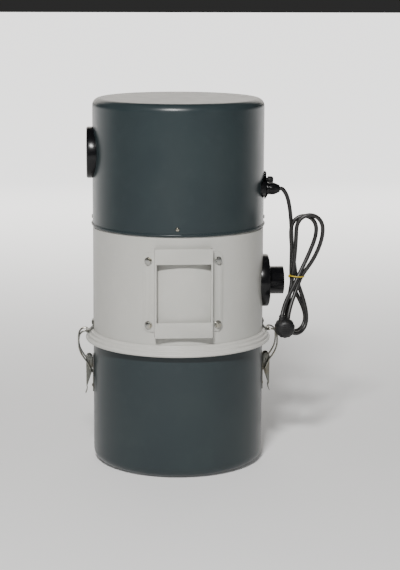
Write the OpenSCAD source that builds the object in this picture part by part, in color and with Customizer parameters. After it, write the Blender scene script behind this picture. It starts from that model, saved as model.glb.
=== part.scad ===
// Wall-hung dust collector: motor head, filter drum and clip-on bin.
// +Z is up, the hanger faces -Y, the exhaust faces -X, the inlet and the cord face +X.
// The origin is the centre of the bin's underside.

/* [Drum] */
// Outside radius of the bin and the filter drum
drum_r = 155; // [148:1:190]
// Height of the whole unit
unit_h = 664; // [655:1:800]
// Height of the bin's rim
bin_h = 236; // [232:1:250]
// Height of the motor cover's lower edge
hem_z = 434; // [425:1:440]
// Thickness of the sheet steel
sheet = 1.2; // [0.8:0.1:2]
// Radius of the bin's bottom corner
bin_corner = 19; // [8:1:30]
// Radius of the cover's top corner
cover_corner = 14; // [8:1:25]
// Space between pieces that sit together
seat_gap = 0.3; // [0.1:0.05:0.5]
// Radial clearance of a shaft or pin in its hole
pin_gap = 0.05; // [0.02:0.01:0.1]

/* [Collar] */
// Height of the clamping collar
collar_h = 19; // [18:0.5:22]
// How far the lowest bead stands out from the drum
collar_out = 14; // [13:0.5:16]
// Thickness of the bin gasket
gasket_h = 3.2; // [2:0.1:4]

/* [Latches] */
// Height of the lever's pivot
pivot_z = 187; // [180:1:190]
// Distance of the lever's pivot from the drum
pivot_out = 8; // [8:0.5:10]
// Drop from the pivot to the bail's end
bail_drop = 22; // [20:1:24]
// Over-centre offset of the bail's end
bail_over = 3; // [2:0.5:4]
// Radius of the bail wire
wire_r = 1.4; // [1.2:0.1:1.6]
// Distance between the bail's two legs
bail_w = 29; // [28:1:34]
// Width of the catch hook
hook_w = 22; // [14:1:22]
// Height of the bail's bar in its hook
bar_z = 239; // [239:0.5:244]
// Length of the lever below its pivot
lever_len = 66; // [55:1:75]
// Thickness of the latch sheet
latch_t = 1.5; // [1:0.1:2]

/* [Hanger] */
// Width of the hanger plate
hanger_w = 101; // [90:1:120]
// Height of the hanger plate
hanger_h = 157; // [140:1:165]
// Height of the hanger's middle
hanger_z = 336; // [330:1:345]
// Depth of the hanger plate from the drum's centre
hanger_out = 9.5; // [8:0.5:16]
// Width of the hanger's window
window_w = 95; // [70:1:96]
// Height of the hanger's window
window_h = 103; // [80:1:110]
// Thickness of the hanger's sheet
hanger_t = 2; // [1.5:0.1:2.5]
// Height of the upper screws above the lower ones
screw_rise = 113.5; // [100:0.5:120]

/* [Ports] */
// Height of the inlet's centre
inlet_z = 328; // [322:1:334]
// Outside radius of the inlet stub
stub_r = 25.4; // [20:0.1:28]
// Length of the inlet stub from the drum
stub_out = 38; // [25:1:50]
// Radius of the inlet flange
inlet_flange_r = 48; // [44:0.5:52]
// Height of the exhaust's centre
exhaust_z = 565.5; // [555:0.5:575]
// Radius of the exhaust socket
socket_r = 25.6; // [20:0.1:28]
// Radius of the exhaust flange
exhaust_flange_r = 46.5; // [44:0.5:52]
// Thickness of both flanges at the middle
flange_t = 10.8; // [8:0.1:14]

/* [Wiring] */
// Height of the cord gland's centre
gland_z = 503; // [495:1:510]
// Sideways place of the cord gland's centre
gland_y = -42; // [-46:1:-38]
// Length of the gland outside its plate
gland_len = 22.7; // [18:0.1:26]
// Height of the reset button's centre
button_z = 512.5; // [505:0.5:520]
// Sideways place of the reset button's centre
button_y = 8; // [4:1:12]
// Travel of the reset button
button_travel = 3; // [1:0.5:3]
// Diameter of the mains cord
cord_d = 7.5; // [6:0.5:8]

/* [Filter] */
// Radius of the filter cloth
filter_r = 108; // [80:1:110]
// Length of the filter below the motor plate
filter_l = 190; // [120:1:195]
// Thickness of the filter cloth
cloth_t = 3; // [2:0.5:4]

/* [Motor] */
// Radius of the fan housing
fan_r = 72; // [60:1:80]
// Height of the fan housing
fan_h = 43; // [35:1:50]
// Radius of the motor shaft
shaft_r = 4; // [3:0.5:5]
// Inside radius of the motor frame
frame_r = 50; // [46:1:54]
// Height of the motor frame
frame_h = 85; // [82:1:95]
// Radius of the armature
armature_r = 29; // [24:0.5:29]
// Radius of the commutator
commutator_r = 17; // [12:0.5:18]
// Number of impeller vanes
vane_n = 8; // [5:1:12]
// Thickness of the foam liner
foam_t = 12; // [6:1:16]

/* [Hidden] */
$fn = 96;

// Heights that follow from the sizes above
collar_z = bin_h - 13;
ledge_z = bin_h + gasket_h + 2 * seat_gap;
ledge_top = ledge_z + sheet;
cover_r = drum_r + 0.4;
neck_r = cover_r - sheet - 0.4;
neck_top = hem_z + 22;
plate_z = neck_top + seat_gap;
plate_t = 2;
hem_screw_z = hem_z + 13.5;
fan_z = plate_z + plate_t + 3 + 2 * 0.1;
frame_z = fan_z + fan_h + seat_gap;
bearing_r = 11;
bearing_h = 7;
lower_bearing_z = fan_z + fan_h + 1.5;
upper_bearing_z = frame_z + frame_h + 4;
stack_z = frame_z + 15;
stack_h = 45;
brush_z = frame_z + 74;
rotor_top = upper_bearing_z + bearing_h;

// Places of the right latch, in its own radial plane
pivot = [drum_r + pivot_out, pivot_z];
bail_end = [pivot[0] - bail_over, pivot_z - bail_drop];
bar = [drum_r + 10.2, bar_z];
base_w = 17.4;
ear_y = 7;
side_y = 9.2;
pin_r = 1.5;
rivet_r = 2;
rivet_z = [pivot_z - 52, pivot_z - 26];
hook_rivet_z = bar_z + 14;
hook_rivet_y = 6;

ear_angle = 26.3;
screw_angle = 22.75;
hem_screw_angle = -4;
screw_z = [hanger_z - 1.75 - screw_rise / 2, hanger_z - 1.75 + screw_rise / 2];
flange_screw_r = 38;
plate_x = cover_r + seat_gap;
terminal_t = 1.5;
gland_thread_r = 8;
bush_r = 5.5;
plate_screw_y = -16;
plate_screw_z = [gland_z - 17, gland_z + 24];

// Route of the cord, from the gland to the plug, where it isn't in the hank
lead_route = [[180, -42, 503], [184, -42, 503], [190, -41, 498], [195, -38.5, 487],
    [199, -35.5, 471], [202, -31.5, 452], [204, -29, 430], [205, -28, 405], [205, -28.2, 380],
    [204.6, -29.5, 358], [204.5, -33, 337.2]];
tail_route = [[191.2, -71.2, 304.3], [189.2, -73.7, 300.3], [186.5, -77.2, 294.5],
    [184, -81, 288.5], [182, -84.7, 282.5], [181.5, -86, 278.5], [181.5, -86, 275.1]];
// The hank's bundle: a narrow waist in the tie, a wide head above it and a foot below it
hank_waist = [213, 341];
hank_waist_r = 12;
hank_head = [234, 431];
hank_head_r = 28.5;
hank_head_y = [-54, -37.2];
hank_hip = [212, 322];
hank_hip_r = 15;
hank_foot = [212, 258];
hank_foot_r = 22;
hank_foot_y = [-72, -28];
plug_at = [187, -88, 256];

// ---------- Helpers ----------

// Turns a profile drawn in radius and height into a ring about Z
module ring_of(fn = 180) {
    rotate_extrude($fn = fn)
        children();
}

// A plain tube about Z
module tube(outer, inner, h, fn = 128) {
    difference() {
        cylinder(r = outer, h = h, $fn = fn);
        translate([0, 0, -1])
            cylinder(r = inner, h = h + 2, $fn = fn);
    }
}

// Lays a profile drawn in radius and height in the XZ plane, w wide across Y
module radial_slab(w, y = 0) {
    translate([0, y + w / 2, 0])
        rotate([90, 0, 0])
            linear_extrude(height = w)
                children();
}

// Turns what is drawn along +Z so that it points along +X, at a height and a sideways place
module along_x(x, y, z) {
    translate([x, y, z])
        rotate([0, 90, 0])
            children();
}

// Puts a copy at each latch: the right one and its mirror image
module mirrored(side) {
    if (side == "left")
        mirror([1, 0, 0])
            children();
    else
        children();
}

function unit(v) = v / norm(v);

function tangent_at(p, i) =
    i == 0 ? unit(p[1] - p[0]) :
    i == len(p) - 1 ? unit(p[i] - p[i - 1]) :
    unit(unit(p[i + 1] - p[i]) + unit(p[i] - p[i - 1]));

function tangents(p) = [for (i = [0:len(p) - 1]) tangent_at(p, i)];

function carried(n, t) = unit(n - (n * t) * t);

// Carries a side direction along the route so that the tube doesn't twist
function side_dirs(t, n, i = 0) =
    i == len(t) ? [] :
    let(m = carried(n, t[i])) concat([m], side_dirs(t, m, i + 1));

// A round tube swept along a list of points
module swept_tube(p, r, sides, start) {
    t = tangents(p);
    n = side_dirs(t, start);
    last = len(p) - 1;
    points = [for (i = [0:last]) for (k = [0:sides - 1])
        let(a = 360 * k / sides)
        p[i] + r * (cos(a) * n[i] + sin(a) * cross(t[i], n[i]))];
    walls = [for (i = [0:last - 1]) for (k = [0:sides - 1])
        let(m = (k + 1) % sides)
        [i * sides + k, (i + 1) * sides + k, (i + 1) * sides + m, i * sides + m]];
    first_cap = [for (k = [0:sides - 1]) k];
    last_cap = [for (k = [sides - 1:-1:0]) last * sides + k];
    polyhedron(points = points, faces = concat(walls, [first_cap], [last_cap]), convexity = 6);
}

// Points on a circular arc in the XZ plane, at one sideways place
function arc_points(c, r, y, from, to, n) =
    [for (i = [0:n]) let(a = from + (to - from) * i / n)
        [c[0] + r * cos(a), y, c[1] + r * sin(a)]];

// ---------- Bin ----------

module bin_shell() {
    rim_t = 3;
    rim_h = 4;
    color([0.26, 0.29, 0.30])
        difference() {
            ring_of() {
                square([drum_r - bin_corner, sheet]);
                translate([drum_r - bin_corner, bin_corner])
                    intersection() {
                        difference() {
                            circle(r = bin_corner);
                            circle(r = bin_corner - sheet);
                        }
                        translate([0, -bin_corner])
                            square(bin_corner);
                    }
                translate([drum_r - sheet, bin_corner])
                    square([sheet, bin_h - bin_corner]);
                translate([drum_r - rim_t, bin_h - rim_h])
                    square([rim_t, rim_h]);
            }
            for (side = [-1, 1])
                for (z = rivet_z)
                    translate([side * drum_r, 0, z])
                        rotate([0, 90, 0])
                            cylinder(r = rivet_r + pin_gap, h = 20, center = true, $fn = 24);
        }
}

// ---------- Latches ----------

module pivot_hole(at, r) {
    translate([at[0], 0, at[1]])
        rotate([90, 0, 0])
            cylinder(r = r, h = 60, center = true, $fn = 32);
}

module latch_base(side) {
    back = drum_r + 0.2;
    face = back + latch_t;
    mirrored(side)
        color([0.66, 0.67, 0.66])
            difference() {
                union() {
                    translate([back, -base_w / 2, pivot_z - 62])
                        cube([latch_t, base_w, 68]);
                    for (y = [-ear_y - latch_t / 2, ear_y + latch_t / 2])
                        radial_slab(latch_t, y) {
                            translate(pivot)
                                circle(r = 4);
                            polygon([[face - 0.5, pivot_z - 18], [face - 0.5, pivot_z - 2],
                                [pivot[0] - 2.8, pivot_z + 2.8], [pivot[0] + 3.2, pivot_z - 2.4]]);
                        }
                }
                pivot_hole(pivot, pin_r + pin_gap);
                for (z = rivet_z)
                    along_x(drum_r - 5, 0, z)
                        cylinder(r = rivet_r + pin_gap, h = 20, $fn = 24);
            }
}

module rivet(x, y, z) {
    along_x(x - 4.5, y, z)
        cylinder(r = rivet_r, h = 5, $fn = 24);
    along_x(x, y, z)
        rotate_extrude($fn = 32)
            intersection() {
                translate([0, -2.4])
                    circle(r = 4.2);
                square([4, 3]);
            }
}

module latch_rivets() {
    color([0.66, 0.67, 0.66])
        for (side = ["left", "right"])
            mirrored(side)
                for (z = rivet_z)
                    rivet(drum_r + 0.2 + latch_t, 0, z);
}

module lever_pin(side) {
    reach = side_y + latch_t + 0.4;
    mirrored(side)
        color([0.72, 0.73, 0.72])
            translate([pivot[0], 0, pivot[1]])
                rotate([90, 0, 0]) {
                    cylinder(r = pin_r, h = 2 * reach + 1, center = true, $fn = 32);
                    for (m = [0, 1])
                        mirror([0, 0, m])
                            translate([0, 0, reach])
                                cylinder(r = 2.6, h = 1, $fn = 32);
                }
}

// Outline of the lever's cheeks
module cheek_outline() {
    foot_z = pivot_z - lever_len + 15;
    translate(pivot)
        circle(r = 6);
    translate(bail_end)
        circle(r = 2.7);
    polygon([[pivot[0] + 6, pivot_z], [pivot[0] + 5.5, foot_z], [pivot[0] + 4, foot_z],
        [bail_end[0] - 2.6, bail_end[1] - 0.8], [bail_end[0] - 2.6, bail_end[1] + 1],
        [pivot[0] - 5.9, pivot_z - 1]]);
}

// Outline of the lever's outer wall and its curled tail
module web_outline() {
    foot_z = pivot_z - lever_len + 15;
    wall = latch_t;
    difference() {
        translate(pivot)
            circle(r = 6);
        translate(pivot)
            circle(r = 6 - wall);
        translate(pivot)
            polygon([[0, 0], [20 * cos(50), 20 * sin(50)], [0, 20], [-20, 20], [-20, -20], [2, -20],
                [4.4, 0]]);
    }
    polygon([[pivot[0] + 6, pivot_z], [pivot[0] + 5.5, foot_z],
        [pivot[0] + 4.6, foot_z - 5], [pivot[0] + 5.4, foot_z - 10], [pivot[0] + 7.5, foot_z - 15],
        [pivot[0] + 6.3, foot_z - 15.4], [pivot[0] + 4, foot_z - 10.2],
        [pivot[0] + 3.2, foot_z - 5], [pivot[0] + 4, foot_z], [pivot[0] + 4.5, pivot_z]]);
}

module latch_lever(side) {
    tail_w = 12;
    head_w = 2 * (side_y + latch_t);
    mirrored(side)
        color([0.70, 0.71, 0.70])
            difference() {
                union() {
                    for (y = [-side_y - latch_t / 2, side_y + latch_t / 2])
                        radial_slab(latch_t, y)
                            cheek_outline();
                    intersection() {
                        radial_slab(head_w)
                            web_outline();
                        union() {
                            translate([drum_r, -head_w / 2, pivot_z - lever_len + 15])
                                cube([40, head_w, lever_len]);
                            translate([drum_r, -tail_w / 2, pivot_z - lever_len - 5])
                                cube([40, tail_w, lever_len]);
                        }
                    }
                }
                pivot_hole(pivot, pin_r + 2 * pin_gap);
                pivot_hole(bail_end, wire_r + 2 * pin_gap);
            }
}

// One leg of the bail in its radial plane, from the bar out, down and in to the lever
function bail_leg(y) = concat(
    [[bar[0], 0, bar[1]]],
    [[bar[0], y * 0.86, bar[1]]],
    [[bar[0] + 0.6, y * 0.97, bar[1]]],
    [[bar[0] + 3, y, bar[1] + 0.7]],
    arc_points([drum_r + 17.5, bar_z - 8.5], 9.5, y, 95, 10, 5),
    arc_points([drum_r + 7, bar_z - 18], 20.5, y, 22, -38, 6),
    [[bail_end[0] + 9, y, bail_end[1] + 8.5]],
    [[bail_end[0] + 1.4, y, bail_end[1] + 1.2]],
    [[bail_end[0], y * 0.94, bail_end[1]]],
    [[bail_end[0], y * 0.86, bail_end[1]]]);

module latch_bail(side) {
    half = bail_w / 2;
    near_leg = bail_leg(-half);
    far_leg = bail_leg(half);
    turned = [for (i = [len(near_leg) - 1:-1:1]) near_leg[i]];
    route = concat(turned, [for (i = [1:len(far_leg) - 1]) far_leg[i]]);
    mirrored(side)
        color([0.74, 0.75, 0.74]) {
            swept_tube(route, wire_r, 10, [1, 0, 0]);
            for (y = [-1, 1])
                translate([bail_end[0], y * half * 0.86, bail_end[1]])
                    rotate([y * 90, 0, 0])
                        cylinder(r = wire_r - 0.02, h = half * 0.86 - side_y + 1, $fn = 32);
        }
}

module catch_hook(side) {
    under = bar_z - wire_r - 0.45;
    lip = bar[0] + wire_r + 0.4;
    mirrored(side)
        color([0.66, 0.67, 0.66])
            difference() {
                radial_slab(hook_w)
                    polygon([[drum_r + 0.2, bar_z + 19], [drum_r + 0.2 + latch_t, bar_z + 19],
                        [drum_r + 0.2 + latch_t, bar_z + 6.4], [bar[0] - 0.6, under], [lip, under],
                        [lip, bar_z + 1.8], [lip + latch_t, bar_z + 1.8],
                        [lip + latch_t, under - latch_t], [bar[0] - 1.2, under - latch_t],
                        [drum_r + 0.2, bar_z + 5.8]]);
                for (y = [-hook_rivet_y, hook_rivet_y])
                    along_x(drum_r - 5, y, hook_rivet_z)
                        cylinder(r = rivet_r + pin_gap, h = 20, $fn = 24);
            }
}

module hook_rivets() {
    color([0.66, 0.67, 0.66])
        for (side = ["left", "right"])
            mirrored(side)
                for (y = [-hook_rivet_y, hook_rivet_y])
                    rivet(drum_r + 0.2 + latch_t, y, hook_rivet_z);
}

// ---------- Filter drum ----------

module filter_housing() {
    neck_z = hem_z - 3;
    color([0.70, 0.70, 0.68])
        difference() {
            ring_of()
                polygon([[drum_r, ledge_top + 0.1], [drum_r, neck_z], [neck_r, neck_z + 1.5],
                    [neck_r, neck_top], [neck_r - sheet, neck_top],
                    [neck_r - sheet, neck_z + 0.5], [drum_r - sheet, neck_z - 1],
                    [drum_r - sheet, ledge_top + 0.1]]);
            along_x(drum_r - 30, 0, inlet_z)
                cylinder(r = stub_r + 2, h = 60, $fn = 64);
            for (a = [0:90:270])
                rotate([0, 0, hem_screw_angle + a - 90])
                    along_x(neck_r - 10, 0, hem_screw_z)
                        cylinder(r = 2, h = 20, $fn = 24);
            for (a = [-screw_angle, screw_angle])
                for (z = screw_z)
                    rotate([0, 0, a - 90])
                        along_x(drum_r - 10, 0, z)
                            cylinder(r = 3.2, h = 20, $fn = 32);
            for (side = [-1, 1])
                for (y = [-hook_rivet_y, hook_rivet_y])
                    translate([side * drum_r, y, hook_rivet_z])
                        rotate([0, 90, 0])
                            cylinder(r = rivet_r + 0.2, h = 20, center = true, $fn = 24);
            for (a = [45:90:315])
                translate([0, flange_screw_r * cos(a), inlet_z + flange_screw_r * sin(a)])
                    along_x(drum_r - 30, 0, 0)
                        cylinder(r = 1.8, h = 60, $fn = 24);
        }
}

module collar_ring() {
    low_bead = 3.2;
    mid_bead = 3;
    mid_at = [drum_r + 7.2, collar_z + 9.3];
    top_bead = 2.8;
    top_at = [drum_r + 2.7, collar_z + 15];
    color([0.72, 0.72, 0.70])
        ring_of() {
            difference() {
                union() {
                    polygon([[drum_r + 1, collar_z], [drum_r + collar_out - low_bead, collar_z],
                        [drum_r + collar_out - 1, collar_z + 4], [drum_r + 8.5, collar_z + 10],
                        [drum_r + 4.5, collar_z + 15.5], [drum_r + 2.2, collar_z + collar_h],
                        [drum_r + 1, collar_z + collar_h]]);
                    translate([drum_r + collar_out - low_bead, collar_z + low_bead])
                        circle(r = low_bead);
                    translate(mid_at)
                        circle(r = mid_bead);
                    translate(top_at)
                        circle(r = top_bead);
                    translate([drum_r - 6, ledge_z])
                        square([8, sheet]);
                    translate([drum_r + 0.15, ledge_z])
                        square([2, collar_z + collar_h - ledge_z]);
                }
                translate([drum_r - 20, collar_z - 5])
                    square([21, ledge_z - collar_z + 5]);
                translate([drum_r - 20, ledge_top])
                    square([20.15, 20]);
            }
        }
}

module bin_gasket() {
    color([0.10, 0.10, 0.10])
        translate([0, 0, bin_h + seat_gap])
            tube(drum_r - 0.2, drum_r - 5.5, gasket_h, 180);
}

// ---------- Hanger ----------

module hanger_frame() {
    back = drum_r + 0.1;
    face_y = drum_r + hanger_out;
    ear_h = hanger_h - 17;
    root_angle = asin(hanger_w / 2 / drum_r) - 1;
    chamfer = 6;
    color([0.72, 0.72, 0.70])
        difference() {
            union() {
                translate([-hanger_w / 2, -face_y, hanger_z - hanger_h / 2])
                    cube([hanger_w, hanger_t, hanger_h]);
                difference() {
                    for (x = [-hanger_w / 2, hanger_w / 2 - hanger_t])
                        translate([x, -face_y, hanger_z - hanger_h / 2])
                            cube([hanger_t, 24, hanger_h]);
                    translate([0, 0, hanger_z - hanger_h])
                        cylinder(r = back + 0.4, h = 2 * hanger_h, $fn = 180);
                }
                for (from = [-90 - ear_angle, -90 + root_angle])
                    translate([0, 0, hanger_z - ear_h / 2])
                        rotate([0, 0, from])
                            rotate_extrude(angle = ear_angle - root_angle, $fn = 180)
                                translate([back, 0])
                                    square([hanger_t, ear_h]);
            }
            for (a = [-ear_angle, ear_angle])
                for (z = [-ear_h / 2, ear_h / 2])
                    rotate([0, 0, a - 90])
                        translate([drum_r, 0, hanger_z + z])
                            rotate([45, 0, 0])
                                cube([20, chamfer * sqrt(2), chamfer * sqrt(2)], center = true);
            translate([-window_w / 2, -face_y - 1, hanger_z - window_h / 2])
                cube([window_w, hanger_t + 2, window_h]);
            for (a = [-screw_angle, screw_angle])
                for (z = screw_z)
                    rotate([0, 0, a - 90])
                        along_x(drum_r - 10, 0, z)
                            cylinder(r = 3.2, h = 30, $fn = 32);
        }
}

module hanger_screws() {
    seat = drum_r + 0.1 + hanger_t + 0.1;
    color([0.78, 0.78, 0.76])
        for (a = [-screw_angle, screw_angle])
            for (z = screw_z)
                rotate([0, 0, a - 90]) {
                    along_x(drum_r - 8, 0, z)
                        cylinder(r = 3, h = 12, $fn = 32);
                    along_x(seat, 0, z)
                        cylinder(r = 7, h = 1.3, $fn = 48);
                    along_x(seat + 1, 0, z)
                        rotate([0, 0, 20])
                            cylinder(r = 5.6, h = 4, $fn = 6);
                }
}

module hanger_nuts() {
    nut_h = 5;
    color([0.70, 0.70, 0.68])
        for (a = [-screw_angle, screw_angle])
            for (z = screw_z)
                rotate([0, 0, a - 90])
                    along_x(drum_r - sheet - nut_h - 0.5, 0, z)
                        difference() {
                            cylinder(r = 5.8, h = nut_h, $fn = 6);
                            translate([0, 0, -1])
                                cylinder(r = 3 + pin_gap, h = nut_h + 2, $fn = 32);
                        }
}

// ---------- Ports ----------

// Flange outline about the port's axis, with a rounded front edge
module flange_outline(r, depth) {
    edge = 3;
    polygon([[0, 0], [r, 0], [r, depth - edge], [r - 0.9, depth - 0.9], [r - edge, depth],
        [0, depth]]);
}

module flange_screw_holes(z, x, face, shank_r) {
    for (a = [45:90:315])
        translate([0, flange_screw_r * cos(a), z + flange_screw_r * sin(a)]) {
            along_x(x - 40, 0, 0)
                cylinder(r = shank_r, h = 80, $fn = 24);
            along_x(face - 2.6, 0, 0)
                cylinder(r = 3.6, h = 10, $fn = 32);
        }
}

module flange_screws(z, x, face) {
    for (a = [45:90:315])
        translate([0, flange_screw_r * cos(a), z + flange_screw_r * sin(a)]) {
            along_x(x - 14, 0, 0)
                cylinder(r = 1.6, h = face - x + 12, $fn = 24);
            along_x(face - 2.5, 0, 0)
                cylinder(r = 3.2, h = 2, $fn = 32);
        }
}

module inlet_port() {
    wall = 2.5;
    inner_end = drum_r - 14;
    face = drum_r + flange_t;
    color([0.06, 0.06, 0.065])
        difference() {
            union() {
                difference() {
                    along_x(drum_r - 20, 0, inlet_z)
                        rotate_extrude($fn = 128)
                            flange_outline(inlet_flange_r, flange_t + 20);
                    translate([0, 0, inlet_z - 100])
                        cylinder(r = drum_r + 0.15, h = 200, $fn = 180);
                }
                along_x(inner_end, 0, inlet_z)
                    cylinder(r = stub_r, h = drum_r + stub_out - inner_end, $fn = 128);
            }
            along_x(inner_end - 5, 0, inlet_z)
                cylinder(r = stub_r - wall, h = stub_out + 60, $fn = 128);
            flange_screw_holes(inlet_z, drum_r, face, 1.65);
        }
}

module inlet_screws() {
    color([0.12, 0.12, 0.12])
        flange_screws(inlet_z, drum_r, drum_r + flange_t);
}

module inlet_deflector() {
    hood_r = stub_r + 5;
    hood_x = drum_r - 36;
    color([0.62, 0.63, 0.62])
        intersection() {
            difference() {
                along_x(hood_x, 0, inlet_z)
                    cylinder(r = hood_r, h = 60, $fn = 96);
                along_x(hood_x + sheet, 0, inlet_z)
                    cylinder(r = hood_r - sheet, h = 60, $fn = 96);
                translate([hood_x - 1, 6, inlet_z - hood_r - 1])
                    cube([28, hood_r, 2 * hood_r + 2]);
            }
            translate([0, 0, inlet_z - 60])
                cylinder(r = drum_r - sheet - 0.2, h = 120, $fn = 180);
        }
}

module exhaust_port() {
    wall = 2.9;
    inner_end = cover_r - 24;
    face = cover_r + flange_t;
    color([0.06, 0.06, 0.065])
        mirror([1, 0, 0])
            difference() {
                union() {
                    difference() {
                        along_x(cover_r - 20, 0, exhaust_z)
                            rotate_extrude($fn = 128)
                                flange_outline(exhaust_flange_r, flange_t + 20);
                        translate([0, 0, exhaust_z - 100])
                            cylinder(r = cover_r + 0.15, h = 200, $fn = 180);
                    }
                    along_x(inner_end, 0, exhaust_z)
                        cylinder(r = socket_r + wall, h = cover_r + 5 - inner_end, $fn = 128);
                }
                along_x(inner_end - 5, 0, exhaust_z)
                    cylinder(r = socket_r, h = 60, $fn = 128);
                flange_screw_holes(exhaust_z, cover_r, face, 1.65);
            }
}

module exhaust_screws() {
    color([0.12, 0.12, 0.12])
        mirror([1, 0, 0])
            flange_screws(exhaust_z, cover_r, cover_r + flange_t);
}

// ---------- Filter ----------

module filter_ring() {
    color([0.62, 0.63, 0.62])
        translate([0, 0, plate_z - 4.2])
            tube(filter_r + 8, filter_r - 6, 4);
}

module filter_cage() {
    cage_r = filter_r - cloth_t - 1.5;
    rod_r = 1.2;
    low_z = plate_z - filter_l + 6;
    rod_h = filter_l - 10.4;
    color([0.70, 0.71, 0.70]) {
        for (z = [low_z, plate_z - 8])
            translate([0, 0, z])
                tube(cage_r, cage_r - 4, 2.4);
        for (a = [0:30:330])
            rotate([0, 0, a])
                translate([cage_r - 2, 0, low_z])
                    cylinder(r = rod_r, h = rod_h, $fn = 16);
    }
}

module filter_cloth() {
    color([0.86, 0.85, 0.80])
        difference() {
            translate([0, 0, plate_z - filter_l])
                cylinder(r = filter_r, h = filter_l - 4.5, $fn = 128);
            translate([0, 0, plate_z - filter_l + cloth_t])
                cylinder(r = filter_r - cloth_t, h = filter_l, $fn = 128);
        }
}

// ---------- Motor ----------

module bolt_places() {
    for (a = [30:120:270])
        rotate([0, 0, a])
            translate([fan_r + 6, 0, 0])
                children();
}

module motor_plate() {
    color([0.62, 0.63, 0.62])
        difference() {
            translate([0, 0, plate_z])
                cylinder(r = neck_r - 0.1, h = plate_t, $fn = 180);
            translate([0, 0, plate_z - 1])
                cylinder(r = 45, h = 5, $fn = 96);
            bolt_places()
                translate([0, 0, plate_z - 1])
                    cylinder(r = 2.7, h = 5, $fn = 32);
        }
}

module motor_gasket() {
    color([0.09, 0.09, 0.09])
        difference() {
            translate([0, 0, plate_z + plate_t + 0.1])
                tube(fan_r + 11, 48, 3);
            bolt_places()
                translate([0, 0, plate_z])
                    cylinder(r = 2.8, h = 8, $fn = 32);
        }
}

module fan_housing() {
    wall = 1.5;
    color([0.66, 0.67, 0.66])
        difference() {
            translate([0, 0, fan_z])
                union() {
                    difference() {
                        cylinder(r = fan_r, h = fan_h, $fn = 128);
                        translate([0, 0, wall])
                            cylinder(r = fan_r - wall, h = fan_h - 2 * wall, $fn = 128);
                    }
                    tube(fan_r + 11, fan_r - wall, wall);
                    translate([0, 0, fan_h - wall])
                        cylinder(r = bearing_r + 3, h = bearing_h + 4, $fn = 64);
                }
            translate([0, 0, fan_z - 1])
                cylinder(r = 30, h = 3, $fn = 96);
            translate([0, 0, lower_bearing_z - 0.1])
                cylinder(r = bearing_r + pin_gap, h = 20, $fn = 64);
            translate([0, 0, fan_z + fan_h - 5])
                cylinder(r = shaft_r + 2, h = 20, $fn = 48);
            for (a = [0:60:300])
                rotate([0, 0, a])
                    translate([fan_r - 5, -14, fan_z + 12])
                        cube([12, 28, fan_h - 20]);
            bolt_places()
                translate([0, 0, fan_z - 1])
                    cylinder(r = 2.7, h = 5, $fn = 32);
        }
}

module motor_bolts() {
    top = fan_z + 1.6;
    color([0.74, 0.75, 0.74])
        bolt_places() {
            translate([0, 0, plate_z - 6])
                cylinder(r = 2.5, h = top - plate_z + 7, $fn = 32);
            translate([0, 0, top])
                cylinder(r = 4.6, h = 3.5, $fn = 6);
            translate([0, 0, plate_z - 4.2])
                cylinder(r = 4.6, h = 4, $fn = 6);
        }
}

module impeller() {
    eye_r = 28;
    tip_r = fan_r - 6;
    low_z = fan_z + 5;
    high_z = fan_z + fan_h - 11;
    color([0.80, 0.81, 0.82])
        difference() {
            union() {
                translate([0, 0, low_z])
                    tube(tip_r, eye_r, 1.5);
                translate([0, 0, high_z])
                    cylinder(r = tip_r, h = 1.5, $fn = 128);
                translate([0, 0, low_z + 6])
                    cylinder(r = 11, h = high_z - low_z - 2, $fn = 64);
                for (i = [0:vane_n - 1])
                    rotate([0, 0, 360 * i / vane_n])
                        translate([22, 0, low_z])
                            rotate([0, 0, -25])
                                translate([0, -0.75, 0])
                                    cube([tip_r - 26, 1.5, high_z - low_z + 1]);
            }
            translate([0, 0, low_z - 1])
                cylinder(r = shaft_r + pin_gap, h = fan_h, $fn = 48);
        }
}

module motor_shaft() {
    color([0.82, 0.83, 0.84])
        translate([0, 0, fan_z + 8])
            cylinder(r = shaft_r, h = rotor_top + 24 - fan_z - 8, $fn = 48);
}

module armature() {
    slots = 12;
    color([0.36, 0.33, 0.31])
        translate([0, 0, stack_z])
            difference() {
                union() {
                    cylinder(r = armature_r, h = stack_h, $fn = 128);
                    translate([0, 0, -5])
                        cylinder(r = armature_r - 6, h = stack_h + 10, $fn = 96);
                }
                translate([0, 0, -6])
                    cylinder(r = shaft_r + pin_gap, h = stack_h + 12, $fn = 48);
                for (i = [0:slots - 1])
                    rotate([0, 0, 360 * i / slots])
                        translate([armature_r - 3, -1, -1])
                            cube([6, 2, stack_h + 2]);
            }
}

module commutator() {
    bars = 16;
    color([0.72, 0.45, 0.25])
        translate([0, 0, brush_z - 8])
            difference() {
                cylinder(r = commutator_r, h = 16, $fn = 96);
                translate([0, 0, -1])
                    cylinder(r = shaft_r + pin_gap, h = 20, $fn = 48);
                for (i = [0:bars - 1])
                    rotate([0, 0, 360 * i / bars])
                        translate([commutator_r - 0.8, -0.3, -1])
                            cube([3, 0.6, 20]);
            }
}

module cooling_fan() {
    blades = 9;
    base_z = rotor_top + 7;
    color([0.12, 0.12, 0.13])
        difference() {
            union() {
                translate([0, 0, base_z])
                    cylinder(r = frame_r - 8, h = 1.6, $fn = 96);
                translate([0, 0, base_z])
                    cylinder(r = 9, h = 12, $fn = 64);
                for (i = [0:blades - 1])
                    rotate([0, 0, 360 * i / blades])
                        translate([8, -0.75, base_z + 1])
                            cube([frame_r - 18, 1.5, 10]);
            }
            translate([0, 0, base_z - 1])
                cylinder(r = shaft_r + pin_gap, h = 20, $fn = 48);
        }
}

module motor_bearings() {
    color([0.80, 0.80, 0.78])
        for (z = [lower_bearing_z, upper_bearing_z])
            translate([0, 0, z])
                difference() {
                    tube(bearing_r, shaft_r + pin_gap, bearing_h, 64);
                    for (end = [-0.4, bearing_h - 0.6])
                        translate([0, 0, end])
                            tube(bearing_r - 2, shaft_r + 2, 1, 64);
                }
}

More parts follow.
